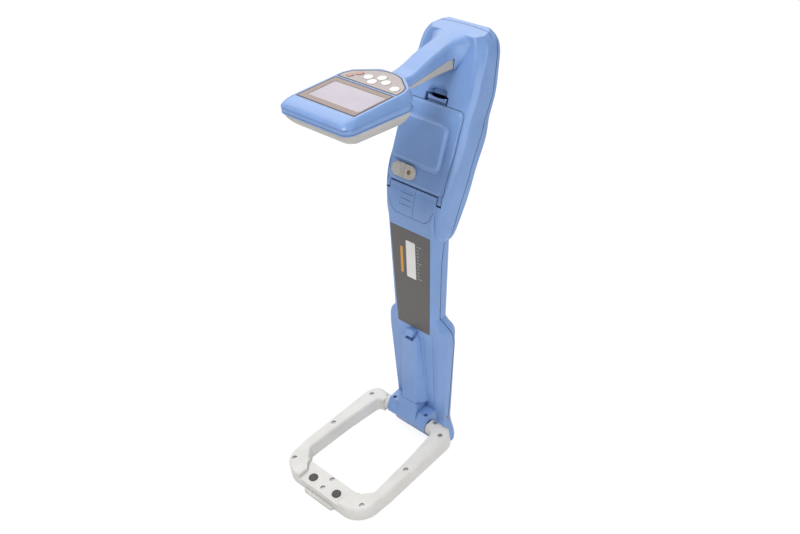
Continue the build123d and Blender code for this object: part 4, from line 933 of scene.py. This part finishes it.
floor_half = 6.0
floor_mesh = bpy.data.meshes.new("floor")
floor_corners = [(x * floor_half, y * floor_half, 0) for x, y in ((-1, -1), (1, -1), (1, 1), (-1, 1))]
floor_mesh.from_pydata(floor_corners, [], [(0, 1, 2, 3)])
floor_mesh.materials.append(floor_finish())
floor = bpy.data.objects.new("floor", floor_mesh)
bpy.context.scene.collection.objects.link(floor)


def softbox(name, place, target, size, power):
    data = bpy.data.lights.new(name, "AREA")
    data.shape = "RECTANGLE"
    data.size, data.size_y = size
    data.energy = power
    lamp = bpy.data.objects.new(name, data)
    lamp.location = place
    lamp.rotation_mode = "QUATERNION"
    lamp.rotation_quaternion = (Vector(target) - Vector(place)).to_track_quat("-Z", "Y")
    bpy.context.scene.collection.objects.link(lamp)


middle = (0.0, -0.05, 0.33)
softbox("front_light", (-0.2, -1.3, 1.9), middle, (1.0, 1.0), 7.0)
softbox("top_light", (-1.5, 0.65, 2.2), middle, (2.4, 1.6), 26.0)
softbox("right_fill", (1.7, -0.7, 0.9), middle, (1.0, 1.6), 14.0)
softbox("key_spot", (-0.1, -1.0, 1.8), (0.0, -0.1, 0.5), (0.45, 0.45), 7.0)


# the room round the sweep: bright behind the object, dim on the near side

room_bright_side = (-0.60, 0.62, 0.50)
room_dim, room_bright = 0.12, 0.60
world = bpy.data.worlds.new("studio")
bpy.context.scene.world = world
world.use_nodes = True
sky = world.node_tree
sky.nodes.clear()
background = sky.nodes.new("ShaderNodeBackground")
background.inputs["Color"].default_value = WHITE
world_out = sky.nodes.new("ShaderNodeOutputWorld")
direction = sky.nodes.new("ShaderNodeTexCoord").outputs["Generated"]
facing_away = sky.nodes.new("ShaderNodeVectorMath")
facing_away.operation = "DOT_PRODUCT"
facing_away.inputs[1].default_value = room_bright_side
sky.links.new(direction, facing_away.inputs[0])
room = spread(sky, facing_away.outputs["Value"], room_dim, room_bright, start=-0.7, end=0.6)
camera_ray = sky.nodes.new("ShaderNodeLightPath").outputs["Is Camera Ray"]
sky.links.new(math_node(sky, "MAXIMUM", room, camera_ray), background.inputs["Strength"])
sky.links.new(background.outputs["Background"], world_out.inputs["Surface"])
bpy.context.scene.view_settings.view_transform = "Standard"
